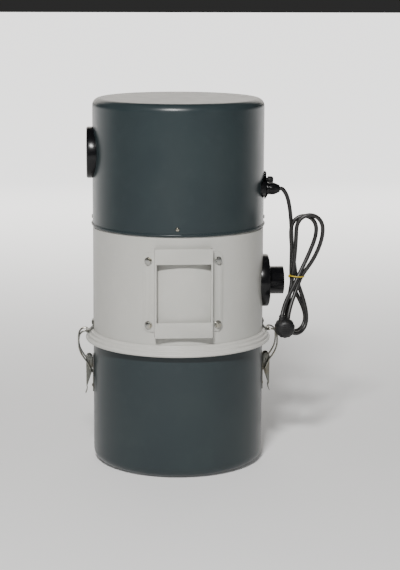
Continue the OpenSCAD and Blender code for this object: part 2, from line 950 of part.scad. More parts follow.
module motor_frame() {
    wall = 2;
    color([0.60, 0.61, 0.60])
        difference() {
            translate([0, 0, frame_z])
                union() {
                    tube(frame_r + wall, frame_r, frame_h);
                    tube(frame_r + 6, frame_r, wall);
                }
            for (a = [0:60:300])
                rotate([0, 0, a])
                    for (z = [frame_z + 4, frame_z + frame_h - 18])
                        translate([frame_r - 4, -12, z])
                            cube([12, 24, 9]);
        }
}

module field_stator() {
    slot_a = 55;
    color([0.45, 0.46, 0.47])
        translate([0, 0, stack_z])
            difference() {
                tube(frame_r - 0.2, armature_r + 1, stack_h);
                for (side = [0, 180])
                    for (a = [-slot_a, slot_a])
                        rotate([0, 0, side + a - 8])
                            translate([0, 0, -1])
                                rotate_extrude(angle = 16, $fn = 96)
                                    translate([armature_r + 0.5, 0])
                                        square([frame_r - armature_r - 5, stack_h + 2]);
            }
}

module coil_part(from, span, z, h, inset = 0) {
    rotate([0, 0, from])
        translate([0, 0, z])
            rotate_extrude(angle = span, $fn = 96)
                translate([armature_r + 3 + inset, 0])
                    square([frame_r - armature_r - 8 - 2 * inset, h]);
}

module field_coils() {
    slot_a = 55;
    half = 6;
    color([0.68, 0.36, 0.18])
        for (side = [0, 180])
            rotate([0, 0, side]) {
                for (z = [stack_z - 6.3, stack_z + stack_h + 0.3])
                    coil_part(-slot_a - half, 2 * (slot_a + half), z, 6);
                for (a = [-slot_a, slot_a])
                    coil_part(a - half + 0.5, 2 * half - 1, stack_z - 2, stack_h + 4, 0.5);
            }
}

module brush_holders() {
    color([0.55, 0.42, 0.22])
        for (side = [90, 270])
            rotate([0, 0, side])
                translate([0, 0, brush_z])
                    difference() {
                        translate([commutator_r + 4, -6, -6])
                            cube([frame_r - commutator_r - 4.5, 12, 12]);
                        translate([commutator_r + 3, -4.1, -4.1])
                            cube([frame_r, 8.2, 8.2]);
                    }
}

module carbon_brushes() {
    color([0.16, 0.16, 0.17])
        for (side = [90, 270])
            rotate([0, 0, side])
                translate([commutator_r + 0.3, -4, brush_z - 4])
                    cube([24, 8, 8]);
}

module end_bracket() {
    base = frame_z + frame_h + 0.1;
    color([0.62, 0.63, 0.62])
        difference() {
            union() {
                translate([0, 0, base])
                    tube(frame_r + 2, frame_r - 6, 3);
                for (a = [0:60:120])
                    rotate([0, 0, a])
                        translate([-frame_r + 3, -5, base])
                            cube([2 * frame_r - 6, 10, 3]);
                translate([0, 0, base])
                    cylinder(r = bearing_r + 3, h = bearing_h + 4.5, $fn = 64);
            }
            translate([0, 0, upper_bearing_z - 0.1])
                cylinder(r = bearing_r + pin_gap, h = 20, $fn = 64);
            translate([0, 0, base - 1])
                cylinder(r = shaft_r + 2, h = 10, $fn = 48);
        }
}

// ---------- Motor cover ----------

module motor_cover() {
    hem_r = 1.8;
    shoulder = unit_h - cover_corner;
    inner_r = cover_corner - sheet;
    color([0.26, 0.29, 0.30])
        difference() {
            ring_of() {
                translate([cover_r - sheet, hem_z])
                    square([sheet, shoulder - hem_z]);
                translate([cover_r - cover_corner, shoulder])
                    intersection() {
                        difference() {
                            circle(r = cover_corner);
                            circle(r = inner_r);
                        }
                        square(cover_corner);
                    }
                translate([0, unit_h - sheet])
                    square([cover_r - cover_corner, sheet]);
                translate([cover_r - sheet, hem_z])
                    square([sheet + 1.2, 3.5]);
                difference() {
                    translate([cover_r + 0.6, hem_z + 2.8])
                        circle(r = hem_r);
                    translate([cover_r - 10, hem_z - 5])
                        square([10 - sheet, 20]);
                }
            }
            along_x(-cover_r - 30, 0, exhaust_z)
                cylinder(r = socket_r + 4.4, h = 60, $fn = 64);
            along_x(cover_r - 30, gland_y, gland_z)
                cylinder(r = 15, h = 60, $fn = 48);
            along_x(cover_r - 30, button_y, button_z)
                cylinder(r = 6.5, h = 60, $fn = 48);
            for (z = plate_screw_z)
                along_x(cover_r - 30, plate_screw_y, z)
                    cylinder(r = 1.8, h = 60, $fn = 24);
            for (a = [0:90:270])
                rotate([0, 0, hem_screw_angle + a - 90])
                    along_x(cover_r - 10, 0, hem_screw_z)
                        cylinder(r = 2.2, h = 20, $fn = 24);
            for (a = [45:90:315])
                translate([0, flange_screw_r * cos(a), exhaust_z + flange_screw_r * sin(a)])
                    along_x(-cover_r - 30, 0, 0)
                        cylinder(r = 1.8, h = 60, $fn = 24);
        }
}

module cover_screws() {
    color([0.72, 0.73, 0.72])
        for (a = [0:90:270])
            rotate([0, 0, hem_screw_angle + a - 90]) {
                along_x(neck_r - 7, 0, hem_screw_z)
                    cylinder(r = 1.9, h = cover_r - neck_r + 7.3, $fn = 24);
                along_x(cover_r + 0.1, 0, hem_screw_z)
                    rotate_extrude($fn = 32)
                        intersection() {
                            translate([0, -2.2])
                                circle(r = 4.2);
                            square([3.6, 3]);
                        }
            }
}

module foam_liner() {
    outer = cover_r - sheet - 0.3;
    low_z = hem_z + 36;
    high_z = unit_h - 22;
    color([0.20, 0.20, 0.21])
        difference() {
            translate([0, 0, low_z])
                tube(outer, outer - foam_t, high_z - low_z, 180);
            along_x(-cover_r - 10, 0, exhaust_z)
                cylinder(r = flange_screw_r + 6, h = 60, $fn = 64);
            translate([cover_r - 60, gland_y - 20, gland_z - 26])
                cube([80, button_y - gland_y + 40, 62]);
        }
}

// ---------- Terminal plate, gland and reset button ----------

module terminal_plate() {
    low_y = gland_y - 16;
    width = button_y - gland_y + 30;
    color([0.08, 0.08, 0.085])
        difference() {
            translate([plate_x, low_y, gland_z - 23])
                cube([terminal_t, width, 53]);
            along_x(plate_x - 5, gland_y, gland_z)
                cylinder(r = gland_thread_r + 0.1, h = 20, $fn = 48);
            along_x(plate_x - 5, button_y, button_z)
                cylinder(r = bush_r + 0.1, h = 20, $fn = 48);
            for (z = plate_screw_z)
                along_x(plate_x - 5, plate_screw_y, z)
                    cylinder(r = 1.8, h = 20, $fn = 24);
        }
}

module plate_screws() {
    color([0.62, 0.63, 0.62])
        for (z = plate_screw_z) {
            along_x(plate_x - 9, plate_screw_y, z)
                cylinder(r = 1.6, h = 12, $fn = 24);
            along_x(plate_x + terminal_t + 0.1, plate_screw_y, z)
                cylinder(r = 3.2, h = 1.8, $fn = 32);
        }
}

module cord_gland() {
    ribs = 12;
    seat = plate_x + terminal_t + 0.1;
    color([0.05, 0.05, 0.055])
        difference() {
            union() {
                along_x(seat - 17, gland_y, gland_z)
                    cylinder(r = gland_thread_r, h = 18, $fn = 48);
                along_x(seat, gland_y, gland_z)
                    rotate_extrude($fn = 72)
                        polygon([[0, 0], [11, 0], [11, 3], [10.2, 3.6], [10.5, 4.2],
                            [10.5, gland_len - 11], [9.6, gland_len - 7],
                            [7.6, gland_len - 2.5], [6.2, gland_len], [0, gland_len]]);
            }
            for (i = [0:ribs - 1])
                translate([seat + 4, gland_y + 11.1 * cos(360 * i / ribs),
                    gland_z + 11.1 * sin(360 * i / ribs)])
                    rotate([0, 90, 0])
                        cylinder(r = 1.1, h = gland_len, $fn = 20);
        }
}

module gland_nut() {
    color([0.05, 0.05, 0.055])
        along_x(plate_x - 11.2, gland_y, gland_z)
            difference() {
                cylinder(r = 12.5, h = 11, $fn = 6);
                translate([0, 0, -1])
                    cylinder(r = gland_thread_r + pin_gap, h = 14, $fn = 48);
            }
}

module breaker_body() {
    back = cover_r - sheet - 8;
    seat = plate_x + terminal_t;
    color([0.07, 0.07, 0.075])
        difference() {
            union() {
                translate([back - 34, button_y - 10, button_z - 14])
                    cube([34, 20, 28]);
                along_x(back - 1, button_y, button_z)
                    cylinder(r = bush_r, h = seat + 3.3 - back + 1, $fn = 48);
            }
            along_x(back - 10, button_y, button_z)
                cylinder(r = 4.3, h = 60, $fn = 48);
        }
}

module breaker_nut() {
    color([0.07, 0.07, 0.075])
        along_x(plate_x + terminal_t + 0.1, button_y, button_z)
            difference() {
                cylinder(r = 8.6, h = 3.2, $fn = 6);
                translate([0, 0, -1])
                    cylinder(r = bush_r + pin_gap, h = 6, $fn = 48);
            }
}

module breaker_button() {
    seat = plate_x + terminal_t + 3.4;
    tip = seat + button_travel + 0.5;
    color([0.10, 0.10, 0.105]) {
        along_x(cover_r - sheet - 12, button_y, button_z)
            cylinder(r = 4.2, h = tip + 1 - cover_r + sheet + 12, $fn = 48);
        along_x(tip, button_y, button_z)
            rotate_extrude($fn = 64)
                polygon([[0, 0], [6.2, 0], [6.8, 0.8], [6.6, 6], [5.4, 8.6], [3.6, 9.8], [0, 10.2]]);
    }
}

// ---------- Cord ----------

module cord_lead() {
    color([0.07, 0.07, 0.075])
        swept_tube(lead_route, cord_d / 2, 10, [0, 1, 0]);
}

module cord_tail() {
    color([0.07, 0.07, 0.075])
        swept_tube(tail_route, cord_d / 2, 10, [0, 1, 0]);
}

// Outline of a round-ended lobe between two places
module lobe(a, ra, b, rb) {
    along = atan2(b[1] - a[1], b[0] - a[0]);
    gap = norm(b - a);
    lean = asin((ra - rb) / gap);
    translate(a)
        circle(r = ra, $fn = 64);
    translate(b)
        circle(r = rb, $fn = 64);
    polygon([for (s = [1, -1])
        each (s > 0 ?
            [a + ra * [cos(along + 90 - lean), sin(along + 90 - lean)],
                b + rb * [cos(along + 90 - lean), sin(along + 90 - lean)]] :
            [b + rb * [cos(along - 90 + lean), sin(along - 90 + lean)],
                a + ra * [cos(along - 90 + lean), sin(along - 90 + lean)]])]);
}

module cord_hank() {
    color([0.07, 0.07, 0.075]) {
        radial_slab(hank_head_y[1] - hank_head_y[0], (hank_head_y[0] + hank_head_y[1]) / 2)
            lobe(hank_waist, hank_waist_r, hank_head, hank_head_r);
        radial_slab(hank_foot_y[1] - hank_foot_y[0], (hank_foot_y[0] + hank_foot_y[1]) / 2)
            lobe(hank_hip, hank_hip_r, hank_foot, hank_foot_r);
    }
}

module cord_tie() {
    band_h = 3;
    band_t = 1;
    width = 30.5;
    low_y = -61.2;
    depth = 34.7;
    color([0.80, 0.68, 0.16])
        translate([hank_waist[0] - 14, low_y, hank_waist[1] + 1])
            difference() {
                cube([width, depth, band_h]);
                translate([band_t, band_t, -1])
                    cube([width - 2 * band_t, depth - 2 * band_t, band_h + 2]);
            }
}

module mains_plug() {
    pin_space = 19;
    plug_pin_r = 2.4;
    plug_pin_len = 19;
    boot_r = 6.5;
    boot_h = 14;
    color([0.06, 0.06, 0.065]) {
        translate([plug_at[0], plug_at[1] + 12, plug_at[2]])
            rotate([90, 0, 0])
                rotate_extrude($fn = 72)
                    polygon([[0, 0], [18, 0], [18.5, 1], [18.5, 12], [17, 17], [13, 22], [8, 24],
                        [0, 24.5]]);
        translate([plug_at[0] - 5.5, plug_at[1] + 2, plug_at[2] + 5])
            cylinder(r = boot_r, h = boot_h, $fn = 48);
        for (z = [-pin_space / 2, pin_space / 2])
            translate([plug_at[0], plug_at[1] + 12 + plug_pin_len, plug_at[2] + z])
                rotate([90, 0, 0])
                    cylinder(r = plug_pin_r, h = plug_pin_len + 1, $fn = 24);
    }
}

// ---------- The pieces ----------

bin_shell();
latch_base("left");  // latch_base_left
latch_base("right");  // latch_base_right
latch_rivets();
lever_pin("left");  // lever_pin_left
lever_pin("right");  // lever_pin_right
latch_lever("left");  // latch_lever_left
latch_lever("right");  // latch_lever_right
latch_bail("left");  // latch_bail_left
latch_bail("right");  // latch_bail_right
filter_housing();
collar_ring();
bin_gasket();
catch_hook("left");  // catch_hook_left
catch_hook("right");  // catch_hook_right
hook_rivets();
hanger_frame();
hanger_screws();
hanger_nuts();
inlet_port();
inlet_screws();
inlet_deflector();
filter_ring();
filter_cage();
filter_cloth();
motor_plate();
motor_gasket();
fan_housing();
motor_bolts();
impeller();
motor_shaft();
armature();
commutator();
cooling_fan();
motor_bearings();
motor_frame();
field_stator();
field_coils();
brush_holders();
carbon_brushes();
end_bracket();
foam_liner();
motor_cover();
cover_screws();
exhaust_port();
exhaust_screws();
terminal_plate();
plate_screws();
cord_gland();
gland_nut();
breaker_body();
breaker_nut();
breaker_button();
cord_lead();
cord_hank();
cord_tail();
cord_tie();
mains_plug();
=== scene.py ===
import math

import bpy
from mathutils import Matrix, Vector


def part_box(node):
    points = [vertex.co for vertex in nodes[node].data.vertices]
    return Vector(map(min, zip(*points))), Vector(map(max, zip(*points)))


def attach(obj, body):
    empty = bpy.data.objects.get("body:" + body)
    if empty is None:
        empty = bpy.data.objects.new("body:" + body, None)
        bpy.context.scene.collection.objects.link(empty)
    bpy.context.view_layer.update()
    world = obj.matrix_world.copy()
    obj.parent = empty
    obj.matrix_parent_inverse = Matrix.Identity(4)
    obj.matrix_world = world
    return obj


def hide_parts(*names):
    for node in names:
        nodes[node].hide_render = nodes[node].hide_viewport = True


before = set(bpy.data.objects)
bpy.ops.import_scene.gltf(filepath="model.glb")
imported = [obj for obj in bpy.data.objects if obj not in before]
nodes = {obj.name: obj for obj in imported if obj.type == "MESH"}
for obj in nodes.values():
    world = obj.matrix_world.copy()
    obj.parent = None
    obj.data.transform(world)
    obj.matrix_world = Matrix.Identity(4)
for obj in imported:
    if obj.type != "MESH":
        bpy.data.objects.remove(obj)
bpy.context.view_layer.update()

MM = 0.001
UP = Vector((0, 0, 1))

# Sizes and places that follow the CAD, in millimetres and degrees
DRUM_R = 155.0
COVER_R = 155.4
CORD_D = 7.5
INLET_Z = 328.0
EXHAUST_Z = 565.5
GLAND_AT = (157.3, -42.0, 503.0)
BUTTON_AT = (160.1, 8.0, 512.5)
PLATE_X = 155.7
TERMINAL_T = 1.5
PLATE_SCREW_Y = -16.0
PLATE_SCREW_Z = (486.0, 527.0)
FLANGE_T = 10.8
FLANGE_SCREW_R = 38.0
HANGER_SCREW_ANGLE = 22.75
HANGER_SCREW_Z = (277.5, 391.0)
COVER_SCREW_ANGLE = -4.0
COVER_SCREW_Z = 447.5
BAIL_END = (160.0, 165.0)
BAIL_W = 29.0
BAR = (165.2, 239.0)
FELT_R = 108.0
CAGE_RODS = 12
FOAM_R = 153.9
FOAM_T = 12.0
PLUG_AT = (187.0, -88.0, 256.0)

# Sizes, seats and counts of the finer pieces made here, in millimetres
GLAND_RIBS = 12
GROOVE_RING_R = 11.2
PLUG_FLUTES = 14
PIN_HALF_GAP = 9.5
TIE_Z = 343.6
HANGER_SEAT = 2.3
COVER_SCREW_SEAT = 0.1
FLANGE_SCREW_SINK = 2.5
PLATE_SCREW_SEAT = 1.6
BUTTON_SEAT = 8.4
WIRE_R = 1.6
FELT_T = 1.8
FOAM_PEAKS = 40
FOAM_ROWS = 8


# ---------- Camera ----------

def make_camera():
    """A long lens, a little above the top of the unit and tipped down."""
    distance = 2.9705
    height = 0.8967
    azimuth = math.radians(-3.6)
    pitch = math.radians(8.38)
    yaw = math.radians(0.766)
    roll = math.radians(0.23)
    camera_data = bpy.data.cameras.new("studio_camera")
    camera = bpy.data.objects.new("studio_camera", camera_data)
    bpy.context.scene.collection.objects.link(camera)
    camera_data.sensor_width = 36
    camera_data.lens = 104.2
    camera_data.shift_y = -0.1316
    camera_data.clip_start = 0.05
    camera_data.clip_end = 50
    place = Vector((math.sin(azimuth) * distance, -math.cos(azimuth) * distance, height))
    look = Vector((-math.sin(azimuth - yaw) * math.cos(pitch),
                   math.cos(azimuth - yaw) * math.cos(pitch), -math.sin(pitch)))
    turn = look.to_track_quat("-Z", "Y").to_matrix() @ Matrix.Rotation(roll, 3, "Z")
    camera.matrix_world = Matrix.Translation(place) @ turn.to_4x4()
    bpy.context.scene.camera = camera


make_camera()


# ---------- Shader maths ----------

class Value:
    """A node socket that adds its own Math nodes when it is used in a sum."""

    def __init__(self, finish, socket):
        self.finish = finish
        self.socket = socket

    def maths(self, operation, *values):
        return self.finish.node("ShaderNodeMath", {"operation": operation}, dict(enumerate(values)))

    def __add__(self, other):
        return self.maths("ADD", self, other)

    def __radd__(self, other):
        return self.maths("ADD", other, self)

    def __sub__(self, other):
        return self.maths("SUBTRACT", self, other)

    def __rsub__(self, other):
        return self.maths("SUBTRACT", other, self)

    def __mul__(self, other):
        return self.maths("MULTIPLY", self, other)

    def __rmul__(self, other):
        return self.maths("MULTIPLY", other, self)


class Finish:
    """A material with a Principled shader and the few nodes that its pattern needs."""

    def __init__(self, name, **constants):
        self.material = bpy.data.materials.new(name)
        self.material.use_nodes = True
        self.tree = self.material.node_tree
        self.tree.nodes.clear()
        self.shader = self.tree.nodes.new("ShaderNodeBsdfPrincipled")
        output = self.tree.nodes.new("ShaderNodeOutputMaterial")
        self.tree.links.new(self.shader.outputs[0], output.inputs[0])
        for key, value in constants.items():
            self.shader.inputs[key.replace("_", " ")].default_value = value
        self.place = self.node("ShaderNodeTexCoord", {}, {}, "Object")

    def node(self, kind, settings, inputs, output=0):
        made = self.tree.nodes.new(kind)
        for key, value in settings.items():
            setattr(made, key, value)
        for key, value in inputs.items():
            if isinstance(value, Value):
                self.tree.links.new(value.socket, made.inputs[key])
            else:
                made.inputs[key].default_value = value
        return Value(self, made.outputs[output])

    def feed(self, name, value):
        self.tree.links.new(value.socket, self.shader.inputs[name])

    def scaled(self, x, y, z):
        """Object coordinates, stretched along each axis."""
        return self.node("ShaderNodeMapping", {}, {"Vector": self.place, "Scale": (x, y, z)})

    def noise(self, scale, detail=3.0, rough=0.5, at=None):
        return self.node("ShaderNodeTexNoise", {}, {"Vector": at or self.place, "Scale": scale,
                                                    "Detail": detail, "Roughness": rough})

    def cells(self, scale, output="Distance"):
        return self.node("ShaderNodeTexVoronoi", {}, {"Vector": self.place, "Scale": scale},
                         output)

    def stripes(self, pitch):
        """Even waves up the piece, for stacked sheets or wound wire."""
        turns = self.axis("Z") * (2 * math.pi / pitch)
        return self.node("ShaderNodeMath", {"operation": "SINE"}, {0: turns})

    def axis(self, letter, at=None):
        return self.node("ShaderNodeSeparateXYZ", {}, {0: at or self.place}, letter)

    def between(self, value, low, high):
        """Rises smoothly from nought at low to one at high."""
        return self.node("ShaderNodeMapRange", {"interpolation_type": "SMOOTHSTEP"},
                         {"Value": value, "From Min": low, "From Max": high})

    def mix(self, factor, first, second):
        """A colour between two colours."""
        return self.node("ShaderNodeMix", {"data_type": "RGBA"},
                         {0: factor, 6: first, 7: second}, 2)

    def bump(self, height, distance, strength):
        return self.node("ShaderNodeBump", {}, {"Height": height, "Distance": distance,
                                                "Strength": strength})


def rgb(r, g, b):
    """A colour from its display values."""
    def linear(v):
        v = v / 255
        return v / 12.92 if v <= 0.04045 else ((v + 0.055) / 1.055) ** 2.4
    return (linear(r), linear(g), linear(b), 1.0)


# ---------- Finishes ----------

def enamel(name, colour, shade, rough, peel):
    """Stoved enamel on sheet steel: fine orange peel, faint cloudiness and a little dust."""
    f = Finish(name, Specular_IOR_Level=0.33)
    cloud = f.noise(6.0, 4.0, 0.55)
    dust = f.noise(38.0, 5.0, 0.6)
    tone = f.mix(f.between(cloud, 0.35, 0.65), colour, shade)
    pale = tuple(min(1.0, c * 1.5 + 0.02) for c in colour[:3]) + (1.0,)
    f.feed("Base Color", f.mix(f.between(dust, 0.5, 0.75) * 0.08, tone, pale))
    f.feed("Roughness", rough + (dust - 0.5) * 0.12 + (cloud - 0.5) * 0.06)
    f.feed("Normal", f.bump(f.noise(430.0, 2.0, 0.5), 0.00008, peel))
    return f.material


def zinc(name, colour, warm, rough):
    """Zinc plate with a faint warm tint, pale stains and drawing marks."""
    f = Finish(name, Metallic=1.0)
    tint = f.noise(55.0, 3.0, 0.6)
    lines = f.noise(260.0, 3.0, 0.6, f.scaled(1, 8, 0.35))
    stain = f.between(f.noise(190.0, 4.0, 0.7), 0.55, 0.72)
    base = f.mix(f.between(tint, 0.4, 0.68), colour, warm)
    f.feed("Base Color", f.mix(stain * 0.35, base, rgb(128, 126, 118)))
    f.feed("Roughness", rough + (lines - 0.5) * 0.25 + stain * 0.15)
    f.feed("Normal", f.bump(lines, 0.00005, 0.5))
    return f.material


def moulded(name, colour, rough, grain, worn=(70, 70, 72)):
    """Moulded plastic with a fine spark-eroded grain and faint pale smears."""
    f = Finish(name, Specular_IOR_Level=0.26)
    fine = f.noise(1500.0, 2.0, 0.6)
    smear = f.noise(45.0, 4.0, 0.6)
    f.feed("Base Color", f.mix(f.between(smear, 0.5, 0.8) * 0.3, colour, rgb(*worn)))
    f.feed("Roughness", rough + (smear - 0.5) * 0.12)
    f.feed("Normal", f.bump(fine, 0.00002, grain))
    return f.material


def rubber(name, colour, rough):
    """Black rubber with a bloom of dust."""
    f = Finish(name, Specular_IOR_Level=0.35)
    dust = f.noise(70.0, 5.0, 0.65)
    f.feed("Base Color", f.mix(f.between(dust, 0.5, 0.8) * 0.35, colour, rgb(86, 84, 80)))
    f.feed("Roughness", rough + (dust - 0.5) * 0.2)
    f.feed("Normal", f.bump(f.noise(800.0, 3.0, 0.6), 0.00008, 0.5))
    return f.material


def galvanised():
    """Hot-dip zinc on sheet steel with its spangle."""
    f = Finish("galvanised_sheet", Metallic=1.0)
    grain = f.cells(70.0, output="Color")
    level = f.axis("X", grain)
    f.feed("Base Color", f.mix(level, rgb(150, 153, 156), rgb(192, 194, 195)))
    f.feed("Roughness", 0.32 + level * 0.22)
    f.feed("Normal", f.bump(f.noise(300.0, 3.0), 0.00005, 0.4))
    return f.material


def cast():
    """Cast aluminium with a fine sandy skin."""
    f = Finish("cast_aluminium", Metallic=1.0)
    sand = f.noise(650.0, 4.0, 0.7)
    f.feed("Base Color", f.mix(f.between(f.noise(30.0), 0.4, 0.7), rgb(176, 178, 180),
                               rgb(150, 152, 154)))
    f.feed("Roughness", 0.42 + (sand - 0.5) * 0.3)
    f.feed("Normal", f.bump(sand, 0.00012, 0.6))
    return f.material


def ground():
    """Ground steel, marked round its axis."""
    f = Finish("ground_steel", Metallic=1.0)
    marks = f.noise(900.0, 2.0, 0.5, f.scaled(0.1, 0.1, 6))
    f.feed("Base Color", f.mix(marks, rgb(170, 172, 175), rgb(205, 207, 209)))
    f.feed("Roughness", 0.2 + marks * 0.15)
    f.feed("Normal", f.bump(marks, 0.00003, 0.5))
    return f.material


def laminated():
    """Varnished iron laminations, half a millimetre each."""
    f = Finish("lamination_stack", Metallic=0.7)
    wave = f.stripes(0.0005)
    varnish = f.noise(60.0, 3.0)
    f.feed("Base Color", f.mix(f.between(varnish, 0.45, 0.7), rgb(88, 80, 74), rgb(112, 78, 52)))
    f.feed("Roughness", 0.5 + (varnish - 0.5) * 0.25)
    f.feed("Normal", f.bump(wave, 0.00006, 0.6))
    return f.material


def windings():
    """Enamelled copper wire laid in turns."""
    f = Finish("copper_windings", Metallic=0.85)
    wave = f.stripes(0.0007)
    tint = f.noise(80.0, 3.0)
    f.feed("Base Color", f.mix(tint, rgb(168, 92, 44), rgb(196, 120, 66)))
    f.feed("Roughness", 0.28 + (tint - 0.5) * 0.2)
    f.feed("Normal", f.bump(wave, 0.0001, 0.8))
    return f.material


def brass():
    """Stamped brass, tarnished in places."""
    f = Finish("brush_brass", Metallic=1.0)
    tarnish = f.noise(120.0, 4.0, 0.7)
    f.feed("Base Color", f.mix(f.between(tarnish, 0.45, 0.7), rgb(196, 164, 92),
                               rgb(140, 108, 60)))
    f.feed("Roughness", 0.3 + (tarnish - 0.5) * 0.3)
    return f.material


def carbon():
    """Pressed carbon with its pores."""
    f = Finish("brush_carbon", Specular_IOR_Level=0.4)
    pores = f.cells(900.0)
    f.feed("Base Color", f.mix(f.noise(400.0, 3.0), rgb(36, 36, 38), rgb(58, 58, 60)))
    f.feed("Roughness", 0.5 + pores * 0.3)
    f.feed("Normal", f.bump(pores, 0.00008, 0.5))
    return f.material


def foam():
    """Open-cell acoustic foam, with painted shade darkening its pores."""
    f = Finish("acoustic_foam", Specular_IOR_Level=0.2, Sheen_Weight=0.3)
    pores = f.cells(700.0)
    small = f.cells(1600.0)
    # Painted shade: the pore hollows are coloured darker than the foam between them.
    hole = f.between(pores, 0.15, 0.45)
    f.feed("Base Color", f.mix(hole, rgb(34, 34, 36), rgb(68, 68, 70)))
    f.feed("Roughness", 0.95 - hole * 0.1)
    f.feed("Normal", f.bump(pores + small * 0.4, 0.0008, 0.9))
    return f.material


def filter_felt():
    """Needle-felt filter cloth: laid fibres and a grey bloom of fine dust low down."""
    f = Finish("filter_felt", Specular_IOR_Level=0.15, Sheen_Weight=0.5, Sheen_Roughness=0.5)
    fibre = f.noise(900.0, 4.0, 0.7, f.scaled(1, 1, 0.25))
    cross = f.noise(700.0, 4.0, 0.7, f.scaled(0.3, 0.3, 1))
    cloud = f.noise(14.0, 4.0, 0.6)
    dusty = f.between(f.axis("Z"), 0.46, 0.27) * f.between(cloud, 0.3, 0.7)
    base = f.mix(fibre, rgb(196, 193, 182), rgb(230, 228, 218))
    f.feed("Base Color", f.mix(dusty * 0.55, base, rgb(178, 158, 128)))
    f.feed("Roughness", 0.92 - (cloud - 0.5) * 0.1)
    f.feed("Normal", f.bump(fibre + cross, 0.0004, 0.8))
    return f.material


def cord_pvc():
    """The cord's extruded sheath, satin, with finger dust and a very fine grain."""
    f = Finish("cord_sheath", Specular_IOR_Level=0.5)
    smear = f.noise(40.0, 4.0, 0.6)
    fine = f.noise(1100.0, 2.0, 0.5)
    f.feed("Base Color", f.mix(f.between(smear, 0.45, 0.8) * 0.5, rgb(27, 26, 26),
                               rgb(52, 49, 46)))
    f.feed("Roughness", 0.42 + (smear - 0.5) * 0.2)
    f.feed("Normal", f.bump(fine, 0.00002, 0.15))
    return f.material


def tie_plastic():
    """The yellow coat of the twist tie."""
    f = Finish("tie_plastic", Specular_IOR_Level=0.5)
    smear = f.noise(300.0, 3.0, 0.6)
    f.feed("Base Color", f.mix(smear, rgb(190, 166, 52), rgb(158, 136, 36)))
    f.feed("Roughness", 0.4 + (smear - 0.5) * 0.2)
    f.feed("Normal", f.bump(smear, 0.0001, 0.5))
    return f.material


DARK = enamel("dark_enamel", rgb(38, 47, 50), rgb(42, 51, 53), 0.33, 0.35)
GREY = enamel("grey_enamel", rgb(177, 177, 172), rgb(181, 180, 175), 0.42, 0.3)
COLLAR = enamel("collar_enamel", rgb(186, 185, 180), rgb(190, 189, 184), 0.38, 0.3)
ZINC = zinc("zinc_plate", rgb(112, 113, 109), rgb(114, 110, 98), 0.36)
WIRE = zinc("latch_wire", rgb(138, 139, 135), rgb(132, 128, 114), 0.27)
SCREW = zinc("bright_screw", rgb(168, 169, 166), rgb(164, 159, 144), 0.22)
GALVANISED = galvanised()
BLACK = moulded("black_plastic", rgb(12, 12, 14), 0.24, 0.2, (40, 40, 42))
BUTTON = moulded("button_plastic", rgb(26, 26, 27), 0.42, 0.4)
BLACK_SCREW = moulded("black_screw", rgb(34, 34, 35), 0.35, 0.2, (96, 96, 98))
GASKET = rubber("gasket_rubber", rgb(26, 26, 26), 0.62)
PLUG_RUBBER = rubber("plug_rubber", rgb(23, 23, 24), 0.48)
FOAM = foam()
FELT = filter_felt()
CAST = cast()
GROUND = ground()
LAMINATION = laminated()
COPPER = windings()
BRASS = brass()
CARBON = carbon()
CORD = cord_pvc()
TIE = tie_plastic()

NODE_FINISH = {
    "bin_shell": DARK, "motor_cover": DARK,
    "filter_housing": GREY, "hanger_frame": GREY, "collar_ring": COLLAR,
    "latch_base_left": ZINC, "latch_base_right": ZINC, "latch_rivets": ZINC,
    "hook_rivets": ZINC, "lever_pin_left": ZINC, "lever_pin_right": ZINC,
    "latch_lever_left": ZINC, "latch_lever_right": ZINC, "catch_hook_left": ZINC,
    "catch_hook_right": ZINC, "latch_bail_left": WIRE, "latch_bail_right": WIRE,
    "hanger_screws": SCREW, "hanger_nuts": ZINC, "cover_screws": SCREW,
    "plate_screws": SCREW, "motor_bolts": ZINC,
    "inlet_port": BLACK, "exhaust_port": BLACK, "terminal_plate": BLACK,
    "cord_gland": BLACK, "gland_nut": BLACK, "breaker_body": BLACK, "breaker_nut": BLACK,
    "breaker_button": BUTTON, "cooling_fan": BLACK,
    "inlet_screws": BLACK_SCREW, "exhaust_screws": BLACK_SCREW,
    "bin_gasket": GASKET, "motor_gasket": GASKET,
    "inlet_deflector": GALVANISED, "filter_ring": GALVANISED, "motor_plate": GALVANISED,
    "fan_housing": GALVANISED, "motor_frame": GALVANISED, "end_bracket": GALVANISED,
    "filter_cage": ZINC, "impeller": CAST, "motor_shaft": GROUND, "motor_bearings": GROUND,
    "armature": LAMINATION, "field_stator": LAMINATION, "field_coils": COPPER,
    "commutator": COPPER, "brush_holders": BRASS, "carbon_brushes": CARBON,
    "foam_liner": FOAM, "filter_cloth": FELT,
    "cord_lead": CORD, "cord_hank": CORD, "cord_tail": CORD, "cord_tie": TIE,
    "mains_plug": PLUG_RUBBER,
}

for node_name, node in nodes.items():
    finish = NODE_FINISH[node_name]
    if not node.data.materials:
        node.data.materials.append(finish)
    for index, _ in enumerate(node.data.materials):
        node.data.materials[index] = finish


# ---------- Modelling helpers ----------

def deselect():
    bpy.ops.object.select_all(action="DESELECT")


def pick(obj):
    """Makes this piece alone selected and active."""
    deselect()
    bpy.context.view_layer.objects.active = obj
    obj.select_set(True)


def put(obj, name, material, body, replaced=(), smooth=35):
    """Settles a finished piece: its place goes into its mesh, and it gets its finish and its body.
    """
    pick(obj)
    obj.name = name
    obj.data.name = name
    bpy.ops.object.transform_apply(location=True, rotation=True, scale=True)
    if smooth is not None:
        bpy.ops.object.shade_smooth_by_angle(angle=math.radians(smooth))
    obj.data.materials.clear()
    obj.data.materials.append(material)
    if replaced:
        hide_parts(*replaced)
    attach(obj, body)
    obj.select_set(False)
    return obj


def apply_modifiers(obj):
    pick(obj)
    for modifier in list(obj.modifiers):
        bpy.ops.object.modifier_apply(modifier=modifier.name)
    return obj


